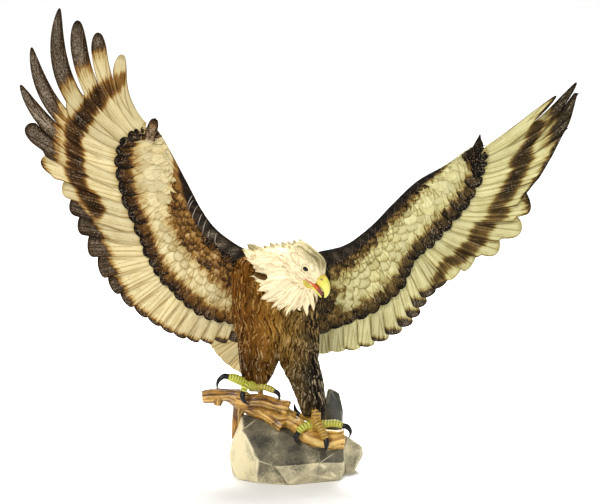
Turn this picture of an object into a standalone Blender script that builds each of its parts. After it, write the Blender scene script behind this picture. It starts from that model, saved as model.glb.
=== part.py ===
"""Statue of a bald eagle landing on a branch over a rock, carved in linden wood and painted.

The statue faces -Y. X runs to the viewer's right, Z is up, and the origin is the middle of the
rock's flat underside. Lengths are in millimetres and become metres when a mesh is made.
"_r" and "_l" are the bird's own right (-X) and left (+X).
"""
import math

import bmesh
import bpy
from mathutils import Vector

MM = 0.001
GAP = 0.35                 # clearance between neighbouring pieces
STATION = 3                # feathers between two stations of a wing line
ARM_END = 17               # the arm ends at this feather, where it meets the leading edge

# Wing: how far the wing's lines lie behind or in front of the shoulders
SHOULDER_DEPTH = 4.0       # leading edge, behind the statue's middle
WING_CUP = 18.0            # hind edge of the inner wing, behind its leading edge
TIP_SWEEP = 12.0           # wing tips, forward of the shoulders
TIP_CURL = 5.0             # forward curl of a long feather's tip
CHORD_ARM = 0.3            # share of the chord at the hind edge of the arm
CHORD_COVERT = 0.6         # share of the chord at the tips of the coverts
ARM_HALF = (4.6, 2.2)      # half thickness of the arm at the shoulder and at the wrist
COVERT_HALF = (2.9, 1.8)   # half thickness of the coverts at the arm and at their tips
COVERT_THIN = 0.03         # loss of that for each feather towards the wing tip
SECONDARY_HALF = (1.6, 0.7)
FEATHER_HALF = 1.3         # half thickness of a long feather at its shaft
FEATHER_THIN = 0.35        # share of that lost at the tip
EDGE_HALF = 0.5            # half thickness of a long feather at its edge
FEATHER_STEPS = 8          # lengths along a long feather
TIP_CROWD = 1.4            # above 1, the steps crowd towards the tip
TIP_BLUNT = 2.2            # 2 is an elliptical tip, more is blunter
TIP_HALF = 0.5             # half width of a long feather's very tip
ROOT_HALF = 0.475          # half width of a long feather's root, in feathers

# Head: centre, facing direction and crown direction
HEAD = Vector((11.0, -45.0, 182.0))
FACE = Vector((0.75, -0.20, -0.63)).normalized()
CROWN = Vector((0.643, 0.0, 0.766)).normalized()
SIDE = FACE.cross(CROWN).normalized()
EYE_RADIUS = 2.1
EYE_PLACE = (3.4, 1.2, 11.9)   # along FACE, CROWN and SIDE

# Neck: a cape of white feathers that flares from the head to its ragged rim
NECK_AXIS = Vector((-0.58, 0.68, -0.45)).normalized()
NECK_LOBES = 15
NECK_RIM = 35.5            # radius at the tips of the cape
NECK_NOTCH = 0.82          # radius between the tips, as a share of that at the tips
NAPE_FLARE = 0.27          # how much further the nape's feathers stand out
NAPE_TURN = 137.0          # degrees round the neck's axis to the nape
NAPE_SPREAD = 26.0         # degrees
NECK_TUCK = 2.0            # how fast the hidden back of the cape draws in towards the shoulders
NECK_BACK = 0.45           # how far the cape turns towards the back before it draws in
NECK_LENGTH = 31.0         # from the head's centre to the tips

# Tail fan, in the plane that faces the viewer
TAIL_ROOT = (-18.0, 128.0)
TAIL_FEATHERS = 7
TAIL_FROM = 203.0          # degrees, anticlockwise from +X
TAIL_TO = 268.0
TAIL_LENGTH = 61.0
TAIL_DEPTH = (20.0, 82.0)  # Y at the root and at the tips
TAIL_HALF = (3.4, 1.4)     # half thickness at the root and at the tips
TAIL_NOTCH = 4.0

# Wing lines in (x, z), one station every third feather, from the body to the wing tip
WING_R = {
    "side": -1,
    "lead": ((-22, 186), (-43, 195), (-62, 209), (-74, 225), (-83, 242), (-95, 265), (-103, 280),
             (-109, 290), (-113, 294)),
    "arm": ((-34, 155), (-55, 167), (-76, 184), (-90, 200), (-100, 223), (-104, 252), (-103, 280),
            (-109, 290), (-113, 294)),
    "covert": ((-44, 128), (-73, 133), (-97, 152), (-116, 175), (-127, 202), (-142, 239),
               (-145, 274), (-129, 291), (-113, 298)),
    "tip": ((-50, 111), (-86, 112), (-119, 128), (-154, 161), (-178, 214), (-207, 268)),
    "short": 15,           # feathers in the secondaries' panel
    "notch": 3.5,
    "alula": (-111, 302),
    # long feathers: tip x, tip z, half width, sideways bow, share of the length that narrows
    "long": ((-209, 266, 9.5, 1, 0.25), (-220, 296, 8.6, 3, 0.2), (-224, 330, 5.8, 12, 0.45),
             (-214, 361, 6.4, 17, 0.5), (-190, 393, 7.0, 21, 0.5), (-175, 383, 6.6, 12.5, 0.25),
             (-158, 373, 6.0, 8.5, 0.2), (-138, 355, 5.4, 8.5, 0.3)),
}
WING_L = {
    "side": 1,
    "lead": ((24, 190), (47, 196), (68, 211.5), (85, 229), (106, 249), (131, 263.5), (147, 275),
             (155, 280), (158, 287)),
    "arm": ((28, 148), (52, 168), (74, 190), (90, 211), (109, 233), (128, 253), (147, 275),
            (155, 280), (158, 287)),
    "covert": ((28, 121), (65, 135), (92, 154), (104, 180), (123, 199), (144, 224), (160, 254),
               (164, 275), (161, 290)),
    "tip": ((29, 100), (66, 106), (100, 124), (120, 151), (156, 181), (206, 231)),
    "short": 13,
    "notch": 4.0,
    "alula": (158, 289),
    "long": ((177, 194, 9.5, 1.5, 0.2), (195, 212, 10.0, 2, 0.2), (204, 235, 10.5, 2, 0.2),
             (212, 254, 9.5, 2, 0.22), (219, 271, 9.0, 2, 0.25), (231, 295, 8.5, 4, 0.3),
             (239, 323, 8.4, 10, 0.3), (237, 332, 4.6, 7, 0.6), (220, 321, 3.5, 2, 0.6)),
}

BRANCH_WOOD = ((0.42, 0.24, 0.09), 0.5)
BROWN = ((0.14, 0.075, 0.035), 0.55)
CREAM = ((0.72, 0.62, 0.40), 0.55)
WHITE = ((0.86, 0.82, 0.70), 0.5)
YELLOW = ((0.62, 0.60, 0.06), 0.4)
BLACK = ((0.012, 0.012, 0.012), 0.25)
RED = ((0.55, 0.10, 0.03), 0.45)
ROCK = ((0.38, 0.37, 0.33), 0.7)


def clear_scene():
    for old in list(bpy.data.objects):
        bpy.data.objects.remove(old, do_unlink=True)


def paint(name, look):
    colour, roughness = look
    finish = bpy.data.materials.new(name)
    finish.use_nodes = True
    shader = finish.node_tree.nodes["Principled BSDF"]
    shader.inputs["Base Color"].default_value = (*colour, 1.0)
    shader.inputs["Roughness"].default_value = roughness
    shader.inputs["Metallic"].default_value = 0.0
    return finish


def add_piece(name, points, faces, look, smooth=True):
    """One closed object from points in millimetres."""
    mesh = bpy.data.meshes.new(name)
    mesh.from_pydata([tuple(Vector(point) * MM) for point in points], [], faces)
    shape = bmesh.new()
    shape.from_mesh(mesh)
    bmesh.ops.recalc_face_normals(shape, faces=shape.faces)
    shape.to_mesh(mesh)
    shape.free()
    if smooth:
        mesh.shade_smooth()
    piece = bpy.data.objects.new(name, mesh)
    bpy.context.scene.collection.objects.link(piece)
    mesh.materials.append(paint(name, look))
    return piece


def curve_point(points, place):
    """Point on the smooth curve through points; whole numbers of place are the points."""
    last = len(points) - 1
    i = min(max(math.floor(place), 0), last - 1)
    t = place - i
    b, c = Vector(points[i]), Vector(points[i + 1])
    a = Vector(points[i - 1]) if i > 0 else 2 * b - c
    d = Vector(points[i + 2]) if i + 2 <= last else 2 * c - b
    return 0.5 * (2 * b + (c - a) * t + (2 * a - 5 * b + 4 * c - d) * t * t
                  + (3 * b - a - 3 * c + d) * t ** 3)


def loft(name, rings, look):
    """Skin over rings of equal point counts, closed by a flat face at each end."""
    count = len(rings[0])
    points = [point for ring in rings for point in ring]
    faces = [tuple(range(count)), tuple(range(len(points) - count, len(points)))]
    for level in range(len(rings) - 1):
        for k in range(count):
            a, b = level * count + k, level * count + (k + 1) % count
            faces.append((a, b, b + count, a + count))
    return add_piece(name, points, faces, look)


def frame_across(direction):
    """Two unit vectors square to direction, the first as level as it can be."""
    direction = direction.normalized()
    helper = Vector((0, 0, 1)) if abs(direction.z) < 0.9 else Vector((0, -1, 0))
    across = direction.cross(helper).normalized()
    return across, across.cross(direction).normalized()


def mix(ends, share):
    return ends[0] + (ends[1] - ends[0]) * share


def tube_rings(path, radii, sides):
    """Rings of a tube along path."""
    path = [Vector(point) for point in path]
    rings = []
    for i, centre in enumerate(path):
        ahead = path[min(i + 1, len(path) - 1)] - path[max(i - 1, 0)]
        across, up = frame_across(ahead)
        turns = [math.tau * k / sides for k in range(sides)]
        rings.append([centre + radii[i] * (math.cos(t) * across + math.sin(t) * up)
                      for t in turns])
    return rings


def smooth_path(points, steps):
    """Evenly many points on the smooth curve through points, radius as fourth value."""
    last = len(points) - 1
    sampled = [curve_point(points, last * k / steps) for k in range(steps + 1)]
    return [Vector(p[:3]) for p in sampled], [p[3] for p in sampled]


def tube(name, points, steps, sides, look):
    path, radii = smooth_path(points, steps)
    return loft(name, tube_rings(path, radii, sides), look)


def helper_piece(piece):
    piece.hide_render = True
    piece.display_type = "WIRE"
    return piece


def combine(target, other, operation):
    step = target.modifiers.new(operation.lower() + "_" + other.name, "BOOLEAN")
    step.operation = operation
    step.solver = "EXACT"
    step.object = other


def grown_copy(piece, gap):
    """Helper with the piece's shape, each face moved out by about the gap."""
    shape = bmesh.new()
    shape.from_mesh(piece.data)
    shape.normal_update()
    moves = [(v, v.normal * (gap * MM * v.calc_shell_factor())) for v in shape.verts]
    for vertex, move in moves:
        vertex.co += move
    mesh = bpy.data.meshes.new("room_for_" + piece.name)
    shape.to_mesh(mesh)
    shape.free()
    grown = bpy.data.objects.new(mesh.name, mesh)
    bpy.context.scene.collection.objects.link(grown)
    return helper_piece(grown)


def cut_clear(target, *neighbours):
    """Cut room for each neighbour out of target."""
    for neighbour in neighbours:
        combine(target, grown_copy(neighbour, GAP), "DIFFERENCE")


def slab(name, grid, halves, look):
    """Closed sheet: a grid of (x, y, z) centres with a half thickness along Y at each."""
    rows, columns = len(grid), len(grid[0])
    front = [Vector((p[0], p[1] - halves[i][j], p[2]))
             for i, row in enumerate(grid) for j, p in enumerate(row)]
    back = [Vector((p[0], p[1] + halves[i][j], p[2]))
            for i, row in enumerate(grid) for j, p in enumerate(row)]
    size = rows * columns
    faces = []
    for i in range(rows - 1):
        for j in range(columns - 1):
            a = i * columns + j
            quad = (a, a + 1, a + columns + 1, a + columns)
            faces.append(quad)
            faces.append(tuple(size + k for k in reversed(quad)))
    rim = list(range(columns))
    rim += [i * columns + columns - 1 for i in range(1, rows)]
    rim += [(rows - 1) * columns + j for j in range(columns - 2, -1, -1)]
    rim += [i * columns for i in range(rows - 2, 0, -1)]
    for k, a in enumerate(rim):
        b = rim[(k + 1) % len(rim)]
        faces.append((b, a, size + a, size + b))
    return add_piece(name, front + back, faces, look)


# ---------------------------------------------------------------- wings

def wing_point(wing, line, feather):
    return curve_point(wing[line], feather / STATION)


def wing_depth(wing, feather, chord):
    """Y of the wing's sheet at a feather's place along the wing and a share of the chord."""
    span = max(0.0, feather / (wing["short"] + len(wing["long"]) - 1))
    cup = WING_CUP * chord ** 0.8 * math.cos(min(span, 1.0) * math.pi / 2)
    return SHOULDER_DEPTH + cup - TIP_SWEEP * span ** 2 * chord


def sheet_point(wing, flat, feather, chord):
    return (flat[0], wing_depth(wing, feather, chord), flat[1])


def toward(start, end, distance):
    """Point at a distance from start on the way to end."""
    return start + (end - start).normalized() * distance


def round_tip(offset):
    """How far a round tip falls short, from 0 at its middle to 1 at an offset of a half."""
    return 1 - math.sqrt(1 - (2 * offset) ** 2)


def arm_panel(name, wing):
    """Thick leading part of the wing, from the shoulder to the wrist."""
    shares, fullness = (0.0, 0.2, 0.6, 1.0), (0.35, 0.85, 1.0, 0.75)
    grid, halves = [], []
    for number in range(ARM_END + 1):
        feather = number - 0.5
        lead, hind = wing_point(wing, "lead", feather), wing_point(wing, "arm", feather)
        hind = toward(hind, lead, GAP / 2)
        thick = mix(ARM_HALF, feather / ARM_END)
        grid.append([sheet_point(wing, lead.lerp(hind, s), feather, CHORD_ARM * s) for s in shares])
        halves.append([thick * f for f in fullness])
    return slab(name, grid, halves, BROWN)


def covert_panel(name, wing):
    """Middle part of the wing, from the arm to the dark tips of the great coverts."""
    grid, halves = [], []
    for number in range(wing["short"] + len(wing["long"]) + 1):
        feather = number - 0.5
        lead, hind = wing_point(wing, "arm", feather), wing_point(wing, "covert", feather)
        lead, hind = toward(lead, hind, GAP / 2), toward(hind, lead, GAP / 2)
        row, half = [], []
        for share in (0.0, 0.5, 1.0):
            chord = mix((CHORD_ARM, CHORD_COVERT), share)
            row.append(sheet_point(wing, lead.lerp(hind, share), feather, chord))
            half.append(mix(COVERT_HALF, share) - COVERT_THIN * feather)
        grid.append(row)
        halves.append(half)
    return slab(name, grid, halves, CREAM)


def secondary_panel(name, wing):
    """Inner flight feathers in one sheet with a scalloped hind edge."""
    grid, halves = [], []
    for number in range(wing["short"]):
        offsets = (-0.5, -0.3, 0.0, 0.3) + ((0.5,) if number == wing["short"] - 1 else ())
        for offset in offsets:
            feather = number + offset
            start, tip = wing_point(wing, "covert", feather), wing_point(wing, "tip", feather)
            start = toward(start, tip, GAP)
            tip = toward(tip, start, wing["notch"] * round_tip(offset))
            row, half = [], []
            for share in (0.0, 0.55, 1.0):
                chord = mix((CHORD_COVERT, 1.0), share)
                row.append(sheet_point(wing, start.lerp(tip, share), feather, chord))
                half.append(mix(SECONDARY_HALF, share))
            grid.append(row)
            halves.append(half)
    return slab(name, grid, halves, CREAM)


def feather_share(step):
    """Share of a long feather's length at one of its steps."""
    return 1 - (1 - step / FEATHER_STEPS) ** TIP_CROWD


def long_centreline(wing, number):
    """Points down the shaft of a long feather, which bows towards its hind edge."""
    tip_x, tip_z, _, bow, _ = wing["long"][number]
    start, tip = wing_point(wing, "covert", wing["short"] + number), Vector((tip_x, tip_z))
    start = toward(start, tip, GAP)
    along = (tip - start).normalized()
    hindward = Vector((along[1], -along[0])) * wing["side"]
    control = (start + tip) / 2 + hindward * 2 * bow
    shares = [feather_share(k) for k in range(FEATHER_STEPS + 1)]
    return [start * (1 - t) ** 2 + control * 2 * t * (1 - t) + tip * t * t for t in shares]


def distance_to_line(point, line):
    nearest = math.inf
    for a, b in zip(line, line[1:]):
        step = b - a
        t = min(max((point - a).dot(step) / step.length_squared, 0.0), 1.0)
        nearest = min(nearest, (point - a - step * t).length)
    return nearest


def room_beside(point, number, lines, panel_edge):
    """How far feather number may reach from its shaft, towards the hind and the leading edge."""
    hind = distance_to_line(point, panel_edge) - GAP
    lead = math.inf
    if number > 0:
        hind = (distance_to_line(point, lines[number - 1]) - GAP) / 2
    if number + 1 < len(lines):
        lead = (distance_to_line(point, lines[number + 1]) - GAP) / 2
    return hind, lead


def long_feather(name, wing, number, lines, panel_edge):
    """One flight feather, as wide as its neighbours leave room for."""
    line = lines[number]
    _, _, half_width, _, narrowing = wing["long"][number]
    feather = wing["short"] + number
    grid, halves = [], []
    for k, centre in enumerate(line):
        t = feather_share(k)
        late = max(0.0, (t - 1 + narrowing) / narrowing)
        wide = half_width * math.sqrt(max(0.0, 1 - late ** TIP_BLUNT)) + TIP_HALF
        room_hind, room_lead = room_beside(centre, number, lines, panel_edge)
        ahead = (line[min(k + 1, len(line) - 1)] - line[max(k - 1, 0)]).normalized()
        hindward = Vector((ahead[1], -ahead[0])) * wing["side"]
        hind = centre + hindward * min(wide, room_hind)
        lead = centre - hindward * min(wide, room_lead)
        if k == 0:
            hind = wing_point(wing, "covert", feather - ROOT_HALF) + ahead * GAP
            lead = wing_point(wing, "covert", feather + ROOT_HALF) + ahead * GAP
        row = []
        for flat in (hind, centre, lead):
            x, y, z = sheet_point(wing, flat, feather, mix((CHORD_COVERT, 1.0), t))
            row.append((x, y - TIP_CURL * t * t, z))
        grid.append(row)
        halves.append([EDGE_HALF, FEATHER_HALF * (1 - FEATHER_THIN * t), EDGE_HALF])
    return slab(name, grid, halves, CREAM)


def alula(name, wing):
    """Small thumb feather on the wrist."""
    last = wing["short"] + len(wing["long"]) - 0.5
    inner, outer = wing_point(wing, "arm", last), wing_point(wing, "covert", last)
    base, tip = (inner + outer) / 2, Vector(wing["alula"])
    along = (tip - base).normalized()
    across = (outer - inner) * 0.4
    base = base + along * (GAP + 0.5)
    grid, halves = [], []
    for share, wide in ((0.0, 1.0), (0.4, 0.85), (0.8, 0.45), (1.0, 0.12)):
        middle = base.lerp(tip, share)
        row = [middle + across * (side * wide) for side in (-1, 0, 1)]
        grid.append([sheet_point(wing, flat, last, CHORD_ARM) for flat in row])
        halves.append([0.8, 1.5 - 0.6 * share, 0.8])
    return slab(name, grid, halves, BROWN)


def build_wing(label, wing, trunk):
    arm = arm_panel(f"wing_{label}_arm", wing)
    coverts = covert_panel(f"wing_{label}_coverts", wing)
    secondaries = secondary_panel(f"wing_{label}_secondaries", wing)
    for panel in (arm, coverts, secondaries):
        cut_clear(panel, trunk)
    edge = wing["short"] - 0.5
    panel_edge = [wing_point(wing, "covert", edge), wing_point(wing, "tip", edge)]
    count = len(wing["long"])
    lines = [long_centreline(wing, number) for number in range(count)]
    for number in range(count):
        feather = long_feather(f"wing_{label}_primary_{number + 1}", wing, number, lines, panel_edge)
    thumb = alula(f"wing_{label}_alula", wing)
    cut_clear(thumb, coverts, feather)


# ---------------------------------------------------------------- trunk, legs, tail

def level_ring(x, y, z, half_x, half_y, sides=18):
    turns = [math.tau * k / sides for k in range(sides)]
    return [Vector((x + half_x * math.cos(t), y + half_y * math.sin(t), z)) for t in turns]


def build_trunk():
    """Breast, back and belly, from the shoulders to the vent."""
    sections = ((195, -5, 2, 15, 9), (191, -6, 0, 27, 16), (182, -8, -2, 36, 24),
                (168, -9, -3, 39, 28), (152, -10, -1, 38, 29), (136, -12, 3, 36, 27),
                (122, -14, 7, 32, 23), (111, -16, 11, 25, 18), (104, -17, 14, 15, 11))
    rings = [level_ring(x, y, z, half_x, half_y) for z, x, y, half_x, half_y in sections]
    return loft("trunk", rings, BROWN)


def build_legs(trunk):
    """Feathered thighs and shanks."""
    right = tube("leg_r", ((-23, 4, 130, 19), (-25, 0, 112, 18.6), (-27, -3, 96, 15),
                           (-29, -5, 86, 12), (-30, -6, 80, 9)), 7, 14, BROWN)
    left = tube("leg_l", ((7, 2, 130, 18), (6.5, -3, 112, 17), (7.5, -6, 101, 16.2),
                          (10.5, -9, 92, 14.6), (14.5, -12, 82, 12.9), (18, -15, 68, 11),
                          (20.5, -18, 56, 9.2)), 8, 14, BROWN)
    for leg in (right, left):
        cut_clear(leg, trunk)
    cut_clear(left, right)
    return right, left


def build_tail(trunk):
    """Fan of tail feathers, spread below and behind the rump, with rounded tips."""
    spread = (TAIL_TO - TAIL_FROM) / TAIL_FEATHERS
    grid, halves = [], []
    for number in range(TAIL_FEATHERS):
        offsets = (-0.5, -0.25, 0.25) + ((0.5,) if number == TAIL_FEATHERS - 1 else ())
        for offset in offsets:
            turn = math.radians(TAIL_FROM + (number + 0.5 + offset) * spread)
            reach = TAIL_LENGTH - TAIL_NOTCH * round_tip(offset)
            row, half = [], []
            for share in (0.12, 0.55, 1.0):
                out = reach * share
                row.append((TAIL_ROOT[0] + out * math.cos(turn), mix(TAIL_DEPTH, share),
                            TAIL_ROOT[1] + out * math.sin(turn)))
                half.append(mix(TAIL_HALF, share))
            grid.append(row)
            halves.append(half)
    tail = slab("tail", grid, halves, CREAM)
    cut_clear(tail, trunk)


# ---------------------------------------------------------------- head

def head_point(ahead, up, sideways):
    return HEAD + FACE * ahead + CROWN * up + SIDE * sideways


def head_ring(ahead, top, bottom, half, sides=20, fullness=0.85):
    """Ring across the head, fuller than an ellipse."""
    middle, tall = (top + bottom) / 2, (top - bottom) / 2
    ring = []
    for k in range(sides):
        t = math.tau * k / sides
        c, s = math.cos(t), math.sin(t)
        ring.append(head_point(ahead, middle + tall * math.copysign(abs(s) ** fullness, s),
                               half * math.copysign(abs(c) ** fullness, c)))
    return ring


def build_head():
    sections = ((-18, 12, 0, 4), (-15.5, 16.5, -7, 8.5), (-8, 18, -13, 12), (0, 17.7, -15.5, 13.3),
                (7, 17.3, -14.5, 12.2), (12, 15.6, -12.8, 9.8), (15.5, 10.5, -11.5, 7.6),
                (17.2, 7.6, -9.5, 6))
    return loft("head", [head_ring(*section) for section in sections], WHITE)


def build_eyes(head):
    ahead, up, sideways = EYE_PLACE
    for label, side in (("r", 1), ("l", -1)):
        centre = head_point(ahead, up, side * sideways)
        rings = []
        for k in range(1, 6):
            turn = math.pi * k / 6
            radius = EYE_RADIUS * math.sin(turn)
            rings.append([centre + SIDE * EYE_RADIUS * math.cos(turn)
                          + FACE * radius * math.cos(math.tau * j / 10)
                          + CROWN * radius * math.sin(math.tau * j / 10) for j in range(10)])
        eye = loft("eye_" + label, rings, BLACK)
        cut_clear(head, eye)


def bill_rings(path, sides=14):
    """Rings along the bill: path of (ahead, up, half height, half width)."""
    rings = []
    for i, (ahead, up, tall, wide) in enumerate(path):
        before, after = path[max(i - 1, 0)], path[min(i + 1, len(path) - 1)]
        slope = math.atan2(after[1] - before[1], after[0] - before[0])
        if i == 0:
            slope = 0.0
        ring = []
        for k in range(sides):
            t = math.tau * k / sides
            rise = tall * math.sin(t)
            ring.append(head_point(ahead - rise * math.sin(slope), up + rise * math.cos(slope),
                                   wide * math.cos(t)))
        rings.append(ring)
    return rings


def build_bill(head):
    """Hooked upper bill, lower bill, and the red inside of the open mouth."""
    upper = loft("bill_upper", bill_rings(((17.6, 0.3, 6.4, 5.0), (20, 0.2, 6.2, 4.9),
                                           (22.5, -0.4, 5.5, 4.4), (25, -1.5, 4.7, 3.6),
                                           (27.2, -3.2, 3.6, 2.8), (28.8, -5.4, 2.5, 2.0),
                                           (29.7, -7.8, 1.5, 1.3), (29.9, -10.2, 0.5, 0.5))), YELLOW)
    lower = loft("bill_lower", bill_rings(((9, -11.6, 2.2, 4.6), (14, -11.6, 2.2, 4.4),
                                           (19, -11.0, 2.0, 3.6), (24, -10.3, 1.7, 2.6),
                                           (27.5, -10.0, 0.9, 1.4))), YELLOW)
    mouth = loft("mouth", bill_rings(((11, -8.2, 1.2, 3.6), (17, -7.8, 1.2, 3.2),
                                      (23, -7.7, 0.9, 2.2), (26, -8.0, 0.5, 1.0))), RED)
    cut_clear(lower, head)
    cut_clear(mouth, head, upper, lower)


def build_neck(head, trunk):
    """Cape of white feathers, flaring back from the head to a ragged rim."""
    across, up = frame_across(NECK_AXIS)
    sides = 2 * NECK_LOBES

    def ring(along, radius):
        points = []
        for k in range(sides):
            turn = math.tau * k / sides
            out = math.cos(turn) * across + math.sin(turn) * up
            off_nape = (math.degrees(turn) - NAPE_TURN) / NAPE_SPREAD
            shape = 1 - NECK_TUCK * max(0.0, out.y - NECK_BACK)
            shape += NAPE_FLARE * math.exp(-off_nape ** 2) * along / NECK_LENGTH
            points.append(HEAD + NECK_AXIS * along + out * radius * shape)
        return points

    tips, notches = ring(NECK_LENGTH, NECK_RIM), ring(27, NECK_RIM * NECK_NOTCH)
    rim = [tips[k] if k % 2 == 0 else notches[k] for k in range(sides)]
    rings = [ring(0, 6), ring(6, 11.5), ring(13, 19), ring(20, 25), rim, ring(29, 20)]
    neck = loft("neck", rings, WHITE)
    cut_clear(neck, head, trunk)


# ---------------------------------------------------------------- feet

FOOT_R = {
    "pad": ((-30, -6, 79.4, 6.0), (-30, -8, 76, 5.5), (-30, -9, 73, 4.5)),
    "toes": (((-31, -8, 78, 4.6), (-39, -11, 81, 4.4), (-46, -13, 84.5, 4.0), (-52, -15, 86.5, 2.8)),
             ((-30, -10, 78, 4.2), (-33, -17, 80, 3.5), (-37, -21, 79, 3.2), (-39, -23, 75, 2.6)),
             ((-29, -9, 78, 4.0), (-23, -11, 77.5, 3.4), (-18, -12, 76, 3.1), (-13, -13, 74, 2.5)),
             ((-29, -6, 77, 4.2), (-28, 2, 76, 3.6), (-26, 6, 72, 3.2), (-25, 8, 68, 2.6))),
    "talons": (((-52.7, -15.3, 86.9, 2.3), (-58, -16.5, 85, 2.0), (-60.5, -17, 81, 1.3),
                (-60.5, -17, 76, 0.4)),
               ((-39.2, -23.3, 74.2, 2.3), (-39.5, -25, 70.5, 2.0), (-37.5, -26, 67.5, 1.3),
                (-34, -26, 65, 0.4)),
               ((-12.3, -13.3, 73.4, 2.1), (-10, -14, 71.5, 1.7), (-9, -14.5, 69, 1.1),
                (-9.6, -15, 66.5, 0.4)),
               ((-24.8, 8.5, 67.2, 2.3), (-24.6, 10, 63, 2.0), (-25, 10, 59, 1.3),
                (-26, 8, 55, 0.4))),
}
FOOT_L = {
    "pad": ((22, -18.5, 54.3, 6.0), (21, -20, 50, 5.6), (20, -21, 45, 5.0)),
    "toes": (((20, -22, 47, 4.2), (15, -25, 47, 3.6), (10, -27, 45, 3.2), (7, -28, 42, 2.6)),
             ((21, -23, 47, 4.2), (25, -28, 47, 3.6), (28, -32, 43, 3.3), (30, -35, 37, 2.6)),
             ((22, -22, 47, 4.2), (30, -23, 48, 3.6), (38, -24, 48.5, 3.3), (44, -25, 47, 2.6)),
             ((20, -20, 50, 4.0), (15, -14, 51, 3.4), (12, -11, 51.5, 3.0), (9, -9, 52, 2.5))),
    "talons": (((6.6, -28.3, 41.2, 2.3), (5.5, -30, 38, 2.0), (6, -31, 35, 1.3), (9, -31, 32, 0.4)),
               ((30.1, -35.3, 36.2, 2.3), (30.3, -37, 33, 2.0), (29.8, -37.5, 30.5, 1.3),
                (29, -37, 27.5, 0.4)),
               ((44.8, -25.2, 46.6, 2.3), (48.5, -26, 44.5, 2.0), (50, -26.5, 41, 1.3),
                (49, -27, 37, 0.4)),
               ((8.3, -8.6, 52.3, 2.1), (5.5, -7.5, 55.5, 1.9), (4, -7, 59, 1.3),
                (4.2, -6.5, 62.5, 0.4))),
}


def build_foot(label, foot, clear_of):
    """Foot with four toes joined to its pad, and a talon in front of each toe."""
    pad = tube("foot_" + label, foot["pad"], 2, 8, YELLOW)
    for number, (toe, talon) in enumerate(zip(foot["toes"], foot["talons"]), 1):
        shape = tube(f"toe_{label}_{number}", toe, 4, 6, YELLOW)
        combine(pad, helper_piece(shape), "UNION")
        claw = tube(f"talon_{label}_{number}", talon, 4, 6, BLACK)
        cut_clear(claw, shape, *clear_of)
    cut_clear(pad, *clear_of)


# ---------------------------------------------------------------- branch and rock

def build_branch(rocks):
    """Gnarled branch in four pieces that lie against each other and on the rock."""
    main = tube("branch_main", ((-74, -8, 68, 5.2), (-66, -8, 69, 6.4), (-54, -8, 70, 5.6),
                                (-42, -8, 66, 8.6), (-30, -9, 59, 8.0), (-18, -12, 52, 6.0),
                                (-6, -16, 44, 6.4)), 12, 12, BRANCH_WOOD)
    knob = tube("knob", ((-60, -8, 69, 4.5), (-60, -8, 60.5, 3.0)), 2, 8, BRANCH_WOOD)
    combine(main, helper_piece(knob), "UNION")
    stub = tube("branch_stub", ((-38, -13, 66, 5.0), (-27, -14, 65.5, 7.0), (-14, -14, 63, 6.4),
                                (-1, -16, 59, 6.8)), 6, 12, BRANCH_WOOD)
    stem = tube("branch_stem", ((-43, -6, 62, 5.0), (-44, -5, 52, 5.0), (-45, -6, 42, 4.6),
                                (-45.5, -6, 32, 4.8)), 5, 10, BRANCH_WOOD)
    log = tube("branch_log", ((-3, -10, 50, 5.5), (6, -15, 45, 7.0), (16, -20, 37, 8.6),
                              (30, -20, 34, 9.0), (45, -18, 34, 8.6)), 9, 12, BRANCH_WOOD)
    cut_clear(main, rocks[0])
    cut_clear(stub, main)
    cut_clear(stem, main, rocks[0])
    cut_clear(log, main, stub, *rocks)
    return main, stub, stem, log


def stone(name, corners):
    """Chiselled block: the convex hull of its corners."""
    shape = bmesh.new()
    for corner in corners:
        shape.verts.new(corner)
    hull = bmesh.ops.convex_hull(shape, input=shape.verts)
    inside = [v for v in hull["geom_interior"] if isinstance(v, bmesh.types.BMVert)]
    bmesh.ops.delete(shape, geom=inside, context="VERTS")
    shape.verts.index_update()
    points = [v.co.copy() for v in shape.verts]
    faces = [tuple(v.index for v in face.verts) for face in shape.faces]
    shape.free()
    return add_piece(name, points, faces, ROCK, smooth=False)


def build_rock():
    foot = ((-44, -20, 0), (-28, -34, 0), (-1, -42, 0), (42, -24, 0), (47, 2, 0), (38, 32, 0),
            (2, 42, 0), (-36, 34, 0), (-50, 8, 0))
    front = ((-52, -8, 18), (-49, -10, 32), (-40, -24, 43), (-27, -38, 20), (-12, -42, 16),
             (13, -43, 10), (25, -38, 18), (24, -31, 26), (45, -16, 27), (46, -18, 14))
    back = ((-42, -5, 53), (-27, -12, 51), (-30, 18, 49), (8, 26, 37), (42, 16, 27),
            (-47, 22, 26), (36, 34, 14), (2, 43, 16))
    main = stone("rock_main", foot + front + back)
    side = stone("rock_side", ((40, -4, 0), (54, 2, 0), (56, 14, 0), (48, 26, 0), (36, 22, 0),
                               (49, 4, 32), (62, 8, 22), (63, 14, 14), (40, 14, 33), (50, 24, 22)))
    spire = stone("rock_spire", ((26, 4, 20), (46, 6, 20), (48, 22, 20), (28, 24, 20),
                                 (31, 8, 58), (43, 10, 54), (46, 14, 40), (34, 12, 70),
                                 (40, 14, 66), (33, 18, 66)))
    cut_clear(side, main)
    cut_clear(spire, main, side)
    return main, side, spire


def build_statue():
    rocks = build_rock()
    branches = build_branch(rocks)
    trunk = build_trunk()
    legs = build_legs(trunk)
    build_tail(trunk)
    head = build_head()
    build_eyes(head)
    build_bill(head)
    build_neck(head, trunk)
    build_wing("r", WING_R, trunk)
    build_wing("l", WING_L, trunk)
    build_foot("r", FOOT_R, (legs[0], *branches[:2]))
    build_foot("l", FOOT_L, (legs[1], branches[1], branches[3], rocks[2]))


clear_scene()
build_statue()
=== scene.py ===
"""Finish of the carved and painted eagle statue: skin, carved feathers, head, feet, branch and rock.

Lengths are in millimetres and become metres when a mesh is made. The statue faces -Y, X runs to
the viewer's right and Z is up. "r" and "l" are the bird's own right (-X) and left (+X).
"""
import math

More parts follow.
